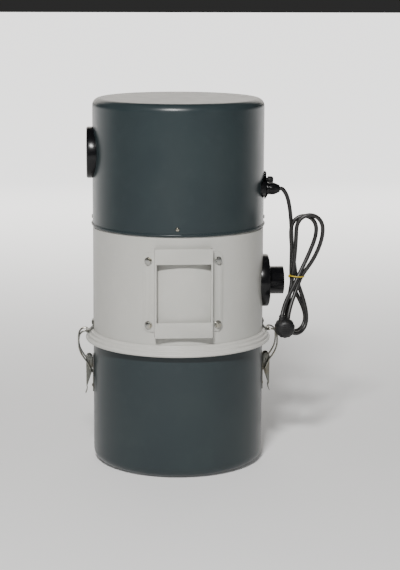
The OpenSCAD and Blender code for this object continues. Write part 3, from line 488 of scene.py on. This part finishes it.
def clean(obj, distance=0.00001, recalculate=True):
    """Merges doubles and, unless told not to, turns every face outwards."""
    pick(obj)
    bpy.ops.object.mode_set(mode="EDIT")
    bpy.ops.mesh.select_all(action="SELECT")
    bpy.ops.mesh.remove_doubles(threshold=distance)
    if recalculate:
        bpy.ops.mesh.normals_make_consistent(inside=False)
    bpy.ops.object.mode_set(mode="OBJECT")
    return obj


def bevel(obj, width, segments, angle):
    """Rounds every edge that is sharper than the angle."""
    modifier = obj.modifiers.new("edge", "BEVEL")
    modifier.width = width
    modifier.segments = segments
    modifier.limit_method = "ANGLE"
    modifier.angle_limit = math.radians(angle)
    modifier.miter_outer = "MITER_ARC"
    return apply_modifiers(obj)


def rounded_copy(node_name, width, segments, angle):
    """The node's own shape with its pressed edges rounded off."""
    deselect()
    source = nodes[node_name]
    obj = bpy.data.objects.new(node_name + "_rounded", source.data.copy())
    bpy.context.scene.collection.objects.link(obj)
    clean(obj, 0.000002, recalculate=False)
    bpy.ops.object.mode_set(mode="EDIT")
    bpy.ops.mesh.select_all(action="SELECT")
    bpy.ops.mesh.dissolve_limited(angle_limit=math.radians(1.0))
    bpy.ops.object.mode_set(mode="OBJECT")
    return bevel(obj, width, segments, angle)


def turned(name, profile, sides=48, cap=True):
    """A part turned on a lathe about Z: a circle, then one extrusion per step of the profile."""
    deselect()
    r, z = profile[0]
    bpy.ops.mesh.primitive_circle_add(vertices=sides, radius=r * MM, location=(0, 0, z * MM),
                                      fill_type="NGON" if cap else "NOTHING")
    obj = bpy.context.object
    obj.name = name
    bpy.ops.object.transform_apply(location=True, rotation=True, scale=True)
    bpy.ops.object.mode_set(mode="EDIT")
    bpy.ops.mesh.select_all(action="SELECT")
    for (r0, z0), (r1, z1) in zip(profile, profile[1:]):
        bpy.ops.mesh.extrude_region_move(TRANSFORM_OT_translate={"value": (0, 0, (z1 - z0) * MM)})
        s = r1 / r0
        bpy.ops.transform.resize(value=(s, s, 1), center_override=(0, 0, z1 * MM))
    bpy.ops.mesh.select_all(action="SELECT")
    bpy.ops.mesh.normals_make_consistent(inside=False)
    bpy.ops.object.mode_set(mode="OBJECT")
    return obj


def stand(obj, at, toward):
    """Moves a piece made about Z to its place, with its Z turned to a direction."""
    turn = Vector(toward).normalized().to_track_quat("Z", "Y").to_matrix().to_4x4()
    obj.data.transform(Matrix.Translation(Vector(at) * MM) @ turn)
    return obj


def join(objects, name):
    """Makes one object of several, under a new name."""
    deselect()
    for obj in objects:
        obj.select_set(True)
    bpy.context.view_layer.objects.active = objects[0]
    bpy.ops.object.join()
    objects[0].name = name
    return objects[0]


def copied(obj, matrix):
    """Another of the same piece, with its own mesh."""
    made = bpy.data.objects.new(obj.name, obj.data.copy())
    bpy.context.scene.collection.objects.link(made)
    made.data.transform(matrix)
    return made


def cut(obj, cutters):
    """Takes the cutters out of a piece."""
    for cutter in cutters:
        modifier = obj.modifiers.new("cut", "BOOLEAN")
        modifier.operation = "DIFFERENCE"
        modifier.solver = "EXACT"
        modifier.object = cutter
        apply_modifiers(obj)
        bpy.data.objects.remove(cutter)
    return obj


def bar(name, size, at):
    """A rectangular block, used as a cutter or as stock for a bevelled strip."""
    deselect()
    bpy.ops.mesh.primitive_cube_add(size=1, location=Vector(at) * MM)
    obj = bpy.context.object
    obj.name = name
    obj.scale = Vector(size) * MM
    bpy.ops.object.transform_apply(location=True, rotation=True, scale=True)
    return obj


def wire(name, points, radius, sides):
    """A bent wire as a curve with a round section, points in millimetres."""
    data = bpy.data.curves.new(name, "CURVE")
    data.dimensions = "3D"
    data.bevel_depth = radius * MM
    data.bevel_resolution = sides
    data.use_fill_caps = True
    spline = data.splines.new("POLY")
    spline.points.add(len(points) - 1)
    for spot, point in zip(spline.points, points):
        spot.co = (point[0] * MM, point[1] * MM, point[2] * MM, 1)
    obj = bpy.data.objects.new(name, data)
    bpy.context.scene.collection.objects.link(obj)
    return obj


def to_mesh(obj):
    pick(obj)
    bpy.ops.object.convert(target="MESH")
    return bpy.context.object


def curved(points, step, passes=12, held=3):
    """A smooth line through the points, evenly spaced, with its ends held."""
    line = [Vector(p) for p in points]
    ends = [2 * line[0] - line[1]] + line + [2 * line[-1] - line[-2]]
    fine = []
    for p0, p1, p2, p3 in zip(ends, ends[1:], ends[2:], ends[3:]):
        t1 = (p1 - p0).length ** 0.5
        t2 = t1 + (p2 - p1).length ** 0.5
        t3 = t2 + (p3 - p2).length ** 0.5
        count = max(2, int((p2 - p1).length / step))
        for k in range(count):
            t = t1 + (t2 - t1) * k / count
            a1 = p0 * ((t1 - t) / t1) + p1 * (t / t1)
            a2 = p1 * ((t2 - t) / (t2 - t1)) + p2 * ((t - t1) / (t2 - t1))
            a3 = p2 * ((t3 - t) / (t3 - t2)) + p3 * ((t - t2) / (t3 - t2))
            b1 = a1 * ((t2 - t) / t2) + a2 * (t / t2)
            b2 = a2 * ((t3 - t) / (t3 - t1)) + a3 * ((t - t1) / (t3 - t1))
            fine.append(b1 * ((t2 - t) / (t2 - t1)) + b2 * ((t - t1) / (t2 - t1)))
    fine.append(line[-1])
    even = spaced(fine, step)
    for _ in range(passes):
        eased = [(a + 2 * b + c) / 4 for a, b, c in zip(even, even[1:], even[2:])]
        even = even[:held] + eased[held - 1:len(eased) - held + 1] + even[-held:]
    return spaced(even, step)


def spaced(line, step):
    """The same line with its points at an even distance."""
    far = [0.0]
    for a, b in zip(line, line[1:]):
        far.append(far[-1] + (b - a).length)
    count = max(2, round(far[-1] / step))
    out, k = [], 0
    for i in range(count + 1):
        want = far[-1] * i / count
        while k < len(line) - 2 and far[k + 1] < want:
            k += 1
        part = (want - far[k]) / max(far[k + 1] - far[k], 1e-9)
        out.append(line[k].lerp(line[k + 1], min(1.0, part)))
    return out


def length_of(line):
    """The length of a line of points."""
    return sum((b - a).length for a, b in zip(line, line[1:]))


# ---------- Mains cord, its tie and its plug ----------

LEAD_ROUTE = [
    (180, -42, 503), (184, -42, 503), (190, -41, 498), (195, -38.5, 487), (199, -35.5, 471),
    (202, -31.5, 452), (204, -29, 430), (205, -28, 405), (205, -28.2, 380), (204.6, -29.5, 358),
    (204.5, -33, 337.2)]
TAIL_ROUTE = [
    (191.2, -71.2, 304.3), (189.2, -73.7, 300.3), (186.5, -77.2, 294.5), (184, -81, 288.5),
    (182, -84.7, 282.5), (181.5, -86, 278.5), (181.5, -86, 275.1)]
FOOT_TURN = (math.cos(math.radians(35)), math.sin(math.radians(35)))


def half_turn(centre, radius, z, direction, start, end):
    """Nine points of a fold: a half circle in an upright plane."""
    out = []
    for i in range(9):
        a = math.radians(start + (end - start) * i / 8)
        reach = radius * math.cos(a)
        out.append((centre[0] + reach * direction[0], centre[1] + reach * direction[1],
                    z + radius * math.sin(a)))
    return out


def hank_route():
    """Down behind, twice round the foot and the head of the hank, then across to the plug."""
    return (
        LEAD_ROUTE
        + [(208, -33.3, 322), (216, -32.6, 305), (225.5, -30.9, 286)]
        + half_turn((212.5, -44), 23.6, 264, FOOT_TURN, 0, -180)
        + [(193.6, -56, 283), (197.5, -51.5, 302), (202.3, -46, 322), (205, -42, 341),
           (206.6, -44.2, 360), (208.6, -45.6, 382), (210.2, -46.5, 408), (210.6, -46.5, 420)]
        + half_turn((235, -46.5), 24.4, 431.6, (1, 0), 180, 0)
        + [(257.6, -46.5, 413), (250.5, -46.3, 391), (239.5, -45.5, 369), (229, -44.7, 354),
           (220.5, -44, 341), (213.5, -48, 324), (206, -54.5, 306), (198.5, -62.5, 287)]
        + half_turn((213, -56), 23.6, 262, FOOT_TURN, 180, 360)
        + [(229.8, -42.6, 284), (224, -40.8, 305), (217.5, -37.8, 324), (212.5, -35.8, 341),
           (210.2, -36.2, 358), (206.6, -36.8, 378), (203.4, -37.6, 401), (202.3, -38, 416)]
        + half_turn((225.5, -38), 23.4, 430, (1, 0), 180, 0)
        + [(246.3, -38.6, 412), (239.5, -40.3, 394), (230.5, -43, 374), (221.5, -46.7, 356.5),
           (213.5, -50.3, 341), (206.3, -57, 328), (198.8, -64, 316.3)]
        + TAIL_ROUTE)


def make_cord():
    """The mains cord as one round sheath along its route."""
    line = curved(hank_route(), 3.0)
    cord = wire("mains_cord", line, CORD_D / 2, 4)
    cord.data.materials.append(CORD)
    for spline in cord.data.splines:
        spline.use_smooth = True
    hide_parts("cord_lead", "cord_hank", "cord_tail")
    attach(cord, "housing")
    return cord, line


def make_plug():
    """An angled rubber plug: a domed grip with finger ribs, a boot for the cord and two pins."""
    x, y, z = PLUG_AT
    grip = turned("plug_grip", [
        (2.0, -1.2), (14.2, -1.2), (14.2, 0.0), (17.4, 0.0), (18.2, 0.8), (18.3, 5.0),
        (17.5, 5.8), (17.5, 7.2), (18.3, 8.0), (18.1, 12.0), (16.8, 17.0), (15.4, 19.6),
        (13.0, 21.9), (10.0, 23.4), (6.0, 24.2), (2.0, 24.4)], 64)
    notches = [bar("notch", (5.0, 7.0, 9.0), (side * 18.6, 0, 3.0)) for side in (-1, 1)]
    notches += [bar("rib_gap", (26.0, 1.3, 2.4), (0, -7.0 + 3.5 * i, 24.6)) for i in range(5)]
    for vertex in grip.data.vertices:
        r = math.hypot(vertex.co.x, vertex.co.y)
        if r > 14.6 * MM:
            flute = 0.5 + 0.5 * math.cos(PLUG_FLUTES * math.atan2(vertex.co.y, vertex.co.x))
            share = 1 - 0.055 * flute ** 2
            vertex.co.x *= share
            vertex.co.y *= share
    grip = cut(grip, notches)
    grip = bevel(grip, 0.0004, 2, 40)
    stand(grip, (x, y + 12, z), (0, -1, 0))
    boot = turned("plug_boot", [
        (7.4, -9.0), (7.6, 2.0), (7.2, 4.0), (6.4, 4.6), (6.4, 5.8), (7.0, 6.4), (6.7, 8.6),
        (5.8, 9.2), (5.8, 10.4), (6.4, 11.0), (6.0, 13.2), (5.2, 13.8), (5.2, 15.0),
        (5.7, 15.6), (5.3, 17.6), (4.6, 18.8), (3.9, 19.0)], 40)
    stand(boot, (x - 5.5, y + 2, z + 5), UP)
    shell = join([grip, boot], "mains_plug_body")
    plug = put(shell, "mains_plug_body", PLUG_RUBBER, "housing",
               ("mains_plug",))
    pins = []
    for dz in (-PIN_HALF_GAP, PIN_HALF_GAP):
        pin = turned("plug_pin", [(2.4, 0), (2.4, 11.0), (2.2, 11.2), (2.2, 11.5), (2.4, 11.7),
                                  (2.4, 16.6), (2.0, 18.2), (1.2, 19.0)], 32)
        pins.append(stand(pin, (x, y + 12, z + dz), (0, 1, 0)))
    pins = put(join(pins, "mains_plug_pins"), "mains_plug_pins", SCREW, "housing")
    clips = []
    for side in (-1, 1):
        clip = bar("earth_clip", (1.2, 10.0, 4.6), (x + side * 16.7, y + 8.2, z))
        clips.append(bevel(clip, 0.0003, 2, 30))
    clips = put(join(clips, "plug_earth_clips"), "plug_earth_clips", BRASS, "housing")
    return plug, pins, clips


def make_tie():
    """A yellow coated wire, once round the bundle and twisted at the front."""
    z = TIE_Z
    ring = [(201.2, -36.5, z - 0.6), (200.6, -44, z), (203.4, -51.5, z + 0.4),
            (209, -55.6, z + 0.2), (216, -55.2, z - 0.5), (222.5, -51.0, z - 1.2),
            (226.0, -44.5, z - 1.8),
            (223.5, -37.5, z - 1.7), (218, -32.3, z - 1.2), (211, -29.6, z - 0.8),
            (205, -28.8, z - 0.6), (201.6, -31.5, z - 0.6), (201.2, -36.5, z - 0.6)]
    pieces = [to_mesh(wire("tie_loop", curved(ring, 1.2, 6, 1), 1.25, 3))]
    for phase in (0, math.pi):
        tail = []
        for i in range(25):
            t = i / 24
            a = phase + t * 4.2 * math.pi
            spread = 1.15 + 1.0 * t * t
            tail.append((201.0 - 3.2 * t + spread * 0.6 * math.cos(a),
                         -40.0 - 12.5 * t + spread * 0.2 * math.cos(a),
                         z + 0.8 * t + spread * math.sin(a)))
        pieces.append(to_mesh(wire("tie_tail", tail, 0.95, 3)))
    tie = join(pieces, "cord_tie_twist")
    return put(tie, "cord_tie_twist", TIE, "housing", ("cord_tie",), None)


mains_cord, cord_line = make_cord()
plug_parts = make_plug()
tie_piece = make_tie()
for polygon in tie_piece.data.polygons:
    polygon.use_smooth = True
round(length_of(cord_line) * MM, 3)


# ---------- Latches ----------

def sheet_parts(side):
    """The latch's pressed parts with their edges rolled over."""
    for name, body in (("latch_lever_", "lever_" + side), ("latch_base_", "bin"),
                       ("catch_hook_", "housing")):
        part = rounded_copy(name + side, 0.00035, 2, 40)
        put(part, name + side + "_pressed", ZINC, body, (name + side,))


def make_bail(side, sign):
    """The bail's wire: out of the lever, up one bowed leg, across the bar and down again."""
    x, z = BAR
    end_x, end_z = BAIL_END
    leg = [(end_x, 0.57, end_z), (end_x, 0.84, end_z), (end_x + 0.5, 0.97, end_z + 1.5),
           (end_x + 2.6, 1, end_z + 7), (end_x + 7.2, 1, end_z + 16.5),
           (end_x + 14.0, 1, end_z + 26.5), (end_x + 19.3, 1, end_z + 36.5),
           (end_x + 21.9, 1, end_z + 47), (end_x + 22.3, 1, end_z + 57),
           (end_x + 21.0, 1, end_z + 66.5), (end_x + 16.5, 1, end_z + 72.8),
           (end_x + 10.2, 1, z + 0.9), (x + 1.0, 0.96, z + 0.2), (x, 0.86, z), (x, 0.45, z)]
    half = BAIL_W / 2
    near = [(sign * a, -half * share, b) for a, share, b in leg]
    far = [(sign * a, half * share, b) for a, share, b in reversed(leg)]
    line = curved(near + [(sign * x, 0, z)] + far, 1.4, 3, 2)
    bail = to_mesh(wire("bail_wire", line, WIRE_R, 4))
    put(bail, "latch_bail_" + side + "_wire", WIRE, "bail_" + side,
        ("latch_bail_" + side,), 60)


def make_latches():
    for side, sign in (("left", -1), ("right", 1)):
        sheet_parts(side)
        make_bail(side, sign)


# ---------- Screws ----------

def hexagon_head():
    """A flanged hexagon head standing on Z, with its chamfered top and a shallow dish."""
    flange = turned("flange", [(6.6, 0), (7.0, 0.25), (7.0, 0.9), (6.5, 1.3), (4.0, 1.35)], 48)
    head = turned("hexagon", [(5.6, 1.0), (5.6, 4.3)], 6)
    corners = turned("corners", [(5.6, 0), (5.6, 4.0), (4.7, 5.0), (3.4, 5.0), (3.0, 4.6),
                                 (0.6, 4.5)], 48)
    modifier = head.modifiers.new("chamfer", "BOOLEAN")
    modifier.operation = "INTERSECT"
    modifier.solver = "EXACT"
    modifier.object = corners
    apply_modifiers(head)
    bpy.data.objects.remove(corners)
    return bevel(join([flange, head], "hexagon_head"), 0.0002, 2, 35)


def pan_head(r, h, slot_w):
    """A domed head standing on Z, with a cross recess."""
    head = turned("pan_head", [(r * 0.96, 0), (r, h * 0.12), (r, h * 0.35), (r * 0.9, h * 0.66),
                               (r * 0.7, h * 0.88), (r * 0.4, h * 0.98), (r * 0.1, h)], 40)
    arms = [bar("arm", size, (0, 0, h)) for size in ((r * 1.15, slot_w, h),
                                                     (slot_w, r * 1.15, h))]
    return bevel(cut(head, arms), 0.00012, 1, 40)


def shank(r, low, high):
    """The screw's plain shank, pointed at its low end."""
    return turned("shank", [(r * 0.6, low), (r, low + r * 0.5), (r, high)], 24)


def around(angle):
    """Outward direction at an angle from the front, turning towards the right."""
    a = math.radians(angle - 90)
    return Vector((math.cos(a), math.sin(a), 0))


def set_of_screws(name, head, places, material, body, replaced):
    """Copies one screw to each place, given as its seat and its direction, and joins them."""
    screws = []
    for at, toward, turn in places:
        one = copied(head, Matrix.Rotation(math.radians(turn), 4, "Z"))
        screws.append(stand(one, at, toward))
    bpy.data.objects.remove(head)
    return put(join(screws, name), name, material, body, (replaced,))


def flange_places(face_x, sign, z):
    """The four seats round a port, sunk a little below its face."""
    seat_x = face_x - FLANGE_SCREW_SINK
    places = []
    for i in range(4):
        a = math.radians(45 + 90 * i)
        at = (sign * seat_x, FLANGE_SCREW_R * math.cos(a), z + FLANGE_SCREW_R * math.sin(a))
        places.append((at, (sign, 0, 0), 20 + 35 * i))
    return places


def make_screws():
    seat = DRUM_R + HANGER_SEAT
    places = []
    for angle, turn in ((-HANGER_SCREW_ANGLE, 12), (HANGER_SCREW_ANGLE, 38)):
        for z in HANGER_SCREW_Z:
            out = around(angle)
            places.append((out * seat + UP * z, out, turn + z))
    hanger = join([hexagon_head(), shank(3, -8, 0.5)], "hanger_screw")
    set_of_screws("hanger_screw_set", hanger, places, SCREW, "housing",
                  "hanger_screws")
    places = []
    for i in range(4):
        out = around(COVER_SCREW_ANGLE + 90 * i)
        places.append((out * (COVER_R + COVER_SCREW_SEAT) + UP * COVER_SCREW_Z, out, 25 * i))
    cover = join([pan_head(3.6, 2.0, 0.8), shank(1.9, -7.5, 0.3)], "cover_screw")
    set_of_screws("cover_screw_set", cover, places, SCREW, "housing", "cover_screws")
    for name, face_x, sign, z in (("inlet_screws", DRUM_R + FLANGE_T, 1, INLET_Z),
                                  ("exhaust_screws", COVER_R + FLANGE_T, -1, EXHAUST_Z)):
        screw = join([pan_head(3.2, 2.0, 0.8), shank(1.6, -22, 0.3)], "flange_screw")
        set_of_screws(name.replace("screws", "screw_set"), screw,
                      flange_places(face_x, sign, z), BLACK_SCREW, "housing", name)
    places = [((PLATE_X + PLATE_SCREW_SEAT, PLATE_SCREW_Y, z), (1, 0, 0), 15 + z)
              for z in PLATE_SCREW_Z]
    small = join([pan_head(3.2, 1.8, 0.7), shank(1.6, -10, 0.3)], "plate_screw")
    set_of_screws("plate_screw_set", small, places, SCREW, "housing", "plate_screws")


# ---------- Terminal plate, gland and reset button ----------

def make_terminal_plate():
    """A plate no larger than its gland, its button and its two screws need."""
    bosses = []
    for y, z, r in ((GLAND_AT[1], GLAND_AT[2], 14.0), (BUTTON_AT[1], BUTTON_AT[2], 12.0),
                    (PLATE_SCREW_Y, PLATE_SCREW_Z[0], 5.5), (PLATE_SCREW_Y, PLATE_SCREW_Z[1], 5.5)):
        boss = turned("boss", [(r, 0), (r, TERMINAL_T)], 48)
        bosses.append(stand(boss, (PLATE_X, y, z), (1, 0, 0)))
    plate = join(bosses, "terminal_plate_shaped")
    bpy.ops.object.mode_set(mode="EDIT")
    bpy.ops.mesh.select_all(action="SELECT")
    bpy.ops.mesh.convex_hull()
    bpy.ops.mesh.select_all(action="SELECT")
    bpy.ops.mesh.dissolve_limited(angle_limit=math.radians(1.0))
    bpy.ops.object.mode_set(mode="OBJECT")
    put(bevel(plate, 0.0003, 2, 50), "terminal_plate_shaped", BLACK, "housing",
        ("terminal_plate",))


def make_gland():
    """The gland's collar and its ribbed, tapered dome nut."""
    body = turned("gland_body", [
        (9.0, -0.1), (11.0, -0.1), (11.0, 2.8), (10.7, 3.1), (9.9, 3.3), (9.9, 4.0), (10.6, 4.2),
        (10.8, 5.0), (10.8, 11.2), (10.4, 13.4), (9.4, 16.2), (8.2, 18.9), (7.0, 21.4),
        (6.3, 22.4), (5.6, 22.7), (4.2, 22.7), (3.9, 21.6)], 96)
    grooves = []
    for i in range(GLAND_RIBS):
        groove = turned("groove", [(1.25, 4.4), (1.25, 24.0)], 16)
        a = 2 * math.pi * i / GLAND_RIBS
        out = Vector((math.cos(a), math.sin(a), 0))
        groove.data.transform(Matrix.Translation(out * GROOVE_RING_R * MM))
        grooves.append(groove)
    body = bevel(cut(body, [join(grooves, "grooves")]), 0.0002, 2, 40)
    thread = turned("gland_thread", [(7.2, -17.0), (8.0, -16.2), (8.0, 0.2)], 48)
    gland = join([body, thread], "cord_gland_ribbed")
    stand(gland, GLAND_AT, (1, 0, 0))
    put(gland, "cord_gland_ribbed", BLACK, "housing", ("cord_gland",))
    nut = rounded_copy("gland_nut", 0.0006, 3, 40)
    put(nut, "gland_nut_rounded", BLACK, "housing", ("gland_nut",))


def make_button():
    """The reset button: a stepped cap with a dished end, and its ring nut."""
    cap = turned("button_cap", [
        (4.2, -19.0), (4.2, 0.0), (6.1, 0.0), (6.8, 0.7), (6.8, 3.2), (6.5, 3.5), (6.5, 4.1),
        (6.8, 4.4), (6.6, 7.0), (5.9, 8.8), (4.9, 9.9), (4.0, 10.2), (3.0, 10.1), (1.6, 9.7),
        (0.3, 9.6)], 56)
    stand(cap, (PLATE_X + BUTTON_SEAT, BUTTON_AT[1], BUTTON_AT[2]), (1, 0, 0))
    put(cap, "reset_button_cap", BUTTON, "button", ("breaker_button",))
    nut = rounded_copy("breaker_nut", 0.0005, 3, 40)
    put(nut, "reset_button_nut", BLACK, "housing", ("breaker_nut",))


# ---------- Pressed frame, ports and gaskets ----------

def make_rounded():
    """The frame, the ports and the gaskets, each in its own shape with rounded edges."""
    for node, width, finish, slot in (
            ("hanger_frame", 0.0006, GREY, "grey_enamel"),
            ("inlet_port", 0.0005, BLACK, "black_plastic"),
            ("exhaust_port", 0.0005, BLACK, "black_plastic"),
            ("bin_gasket", 0.0011, GASKET, "gasket_rubber"),
            ("motor_gasket", 0.0008, GASKET, "gasket_rubber")):
        part = rounded_copy(node, width, 3, 38)
        put(part, node + "_rounded", finish, "housing", (node,))


# ---------- Filter felt and acoustic foam ----------

def make_felt():
    """Felt drawn over the rods of its cage and sunk in between them, closed at both ends."""
    low, high = (corner[2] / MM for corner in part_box("filter_cloth"))
    outer = FELT_R - 0.3
    profile = [(0.5, low + 1.6), (20, low + 1.4), (40, low + 1.2), (60, low + 1.0),
               (78, low + 0.8), (90, low + 0.6), (98, low + 0.5), (102.5, low + 0.8),
               (105.6, low + 2.0),
               (107.2, low + 4.4), (outer, low + 8.0)]
    rows = 26
    for i in range(1, rows + 1):
        profile.append((outer, low + 8 + (high - low - 8.2) * i / rows))
    felt = turned("filter_felt", profile, 168, cap=True)
    tall = (high - low) * MM
    for vertex in felt.data.vertices:
        x, y, z = vertex.co
        angle = math.atan2(y, x)
        r = math.hypot(x, y)
        share = (z - low * MM) / tall
        wall = min(1.0, max(0.0, (r / MM - 96) / 8))
        sink = 0.5 - 0.5 * math.cos(CAGE_RODS * angle)
        crease = math.sin(26 * angle + 9 * share) * math.sin(7 * math.pi * share + 2 * angle)
        depth = (1.5 * sink * math.sin(math.pi * min(1.0, share * 1.02 + 0.02)) ** 0.5
                 + 0.25 * crease + 0.25) * MM * wall
        if r > 0:
            vertex.co.x *= (r - depth) / r
            vertex.co.y *= (r - depth) / r
    modifier = felt.modifiers.new("cloth", "SOLIDIFY")
    modifier.thickness = FELT_T * MM
    modifier.offset = -1
    apply_modifiers(felt)
    put(felt, "filter_felt_sleeve", FELT, "filter", ("filter_cloth",), 60)
    seams = []
    for z, out in ((low + 9.0, 0.0), (high - 6.0, 0.05)):
        ring = []
        for i in range(181):
            a = 2 * math.pi * i / 180
            r = outer - 0.75 - out - 0.75 * (1 - math.cos(CAGE_RODS * a)) * 0.6
            ring.append((r * math.cos(a), r * math.sin(a), z))
        seams.append(to_mesh(wire("seam", ring, 0.55, 2)))
    seam = put(join(seams, "filter_felt_seams"), "filter_felt_seams", FELT, "filter",
               (), 60)


def make_foam():
    """Egg-crate foam inside the cover: a smooth back and rows of soft peaks facing in."""
    box_low, box_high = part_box("foam_liner")
    low, high = box_low[2] / MM + 0.4, box_high[2] / MM - 0.4
    outer = FOAM_R - 0.2
    valley, peak = FOAM_R - 5.5, FOAM_R - FOAM_T + 0.2
    rows = 48
    profile = [(outer, low + 1.2), (outer, high - 1.2), (outer - 1.2, high), (valley + 0.5, high)]
    for i in range(rows + 1):
        profile.append((valley, high - (high - low) * i / rows))
    profile += [(outer - 1.2, low), (outer, low + 1.2)]
    foam_piece = clean(turned("foam", profile, 240, cap=False))
    for vertex in foam_piece.data.vertices:
        x, y, z = vertex.co
        r = math.hypot(x, y)
        if r < (valley + 0.2) * MM:
            angle = math.atan2(y, x)
            share = (z / MM - low) / (high - low)
            lump = 0.5 + 0.5 * (math.cos(FOAM_PEAKS * angle)
                                * math.cos(2 * math.pi * FOAM_ROWS * share))
            rim = min(1.0, 12 * share, 12 * (1 - share))
            new_r = (valley + (peak - valley) * lump * rim) * MM
            vertex.co.x *= new_r / r
            vertex.co.y *= new_r / r
    hole = turned("hole", [(FLANGE_SCREW_R + 6.2, 95), (FLANGE_SCREW_R + 6.2, 175)], 64)
    stand(hole, (0, 0, EXHAUST_Z), (-1, 0, 0))
    window = bar("window", (80, 90.4, 62.4), (COVER_R - 20, GLAND_AT[1] + 25, GLAND_AT[2] + 5))
    foam_piece = cut(foam_piece, [hole, window])
    put(foam_piece, "foam_liner_crate", FOAM, "housing", ("foam_liner",), 50)


make_latches()
make_screws()
make_terminal_plate()
make_gland()
make_button()
make_rounded()
make_felt()
make_foam()


# ---------- Floor and light ----------

def make_floor():
    """A wide sheet of pale paper that glows as painted light, faintly in front and brightly towards
    the back.
    """
    deselect()
    bpy.ops.mesh.primitive_plane_add(size=60, location=(0, 0, 0))
    floor = bpy.context.object
    floor.name = "studio_floor"
    bpy.ops.object.transform_apply(location=True, rotation=True, scale=True)
    f = Finish("studio_paper", Specular_IOR_Level=0.05, Emission_Strength=1.0)
    tone = f.noise(3.0, 2.0)
    f.feed("Base Color", f.mix(tone, (0.80, 0.80, 0.80, 1), (0.83, 0.83, 0.83, 1)))
    f.feed("Roughness", 0.85 + (tone - 0.5) * 0.1)
    # Painted light: the paper's own glow, rising from faint in front to bright behind the unit.
    behind = f.between(f.axis("Y"), -0.3, 4.0)
    f.feed("Emission Color", f.mix(behind, (0.10, 0.10, 0.10, 1), (2.1, 2.08, 2.05, 1)))
    floor.data.materials.append(f.material)


def area_light(name, place, aim, power, colour, wide, tall):
    """A rectangular soft light, turned towards its aim."""
    data = bpy.data.lights.new(name, "AREA")
    data.shape = "RECTANGLE"
    data.size = wide
    data.size_y = tall
    data.energy = power
    data.color = colour
    light = bpy.data.objects.new(name, data)
    bpy.context.scene.collection.objects.link(light)
    place = Vector(place)
    turn = (Vector(aim) - place).to_track_quat("-Z", "Y").to_matrix().to_4x4()
    light.matrix_world = Matrix.Translation(place) @ turn


def make_light():
    """Faint air all round, a key light in front, a little fill and a broad light behind."""
    world = bpy.data.worlds.new("studio_air")
    world.use_nodes = True
    air = world.node_tree.nodes["Background"]
    air.inputs["Color"].default_value = (1.0, 0.995, 0.985, 1)
    air.inputs["Strength"].default_value = 0.03
    bpy.context.scene.world = world
    area_light("key_soft", (-0.55, -2.7, 2.55), (0, 0, 0.4), 174, (1, 0.99, 0.975), 0.6, 0.3)
    area_light("right_soft", (2.6, -2.6, 1.2), (0, 0, 0.45), 4, (1, 0.99, 0.97), 1.4, 1.2)
    area_light("back_soft", (0, 3.4, 1.7), (0, 0, 0.65), 58, (1, 0.955, 0.89), 4.5, 1.9)


make_floor()
make_light()
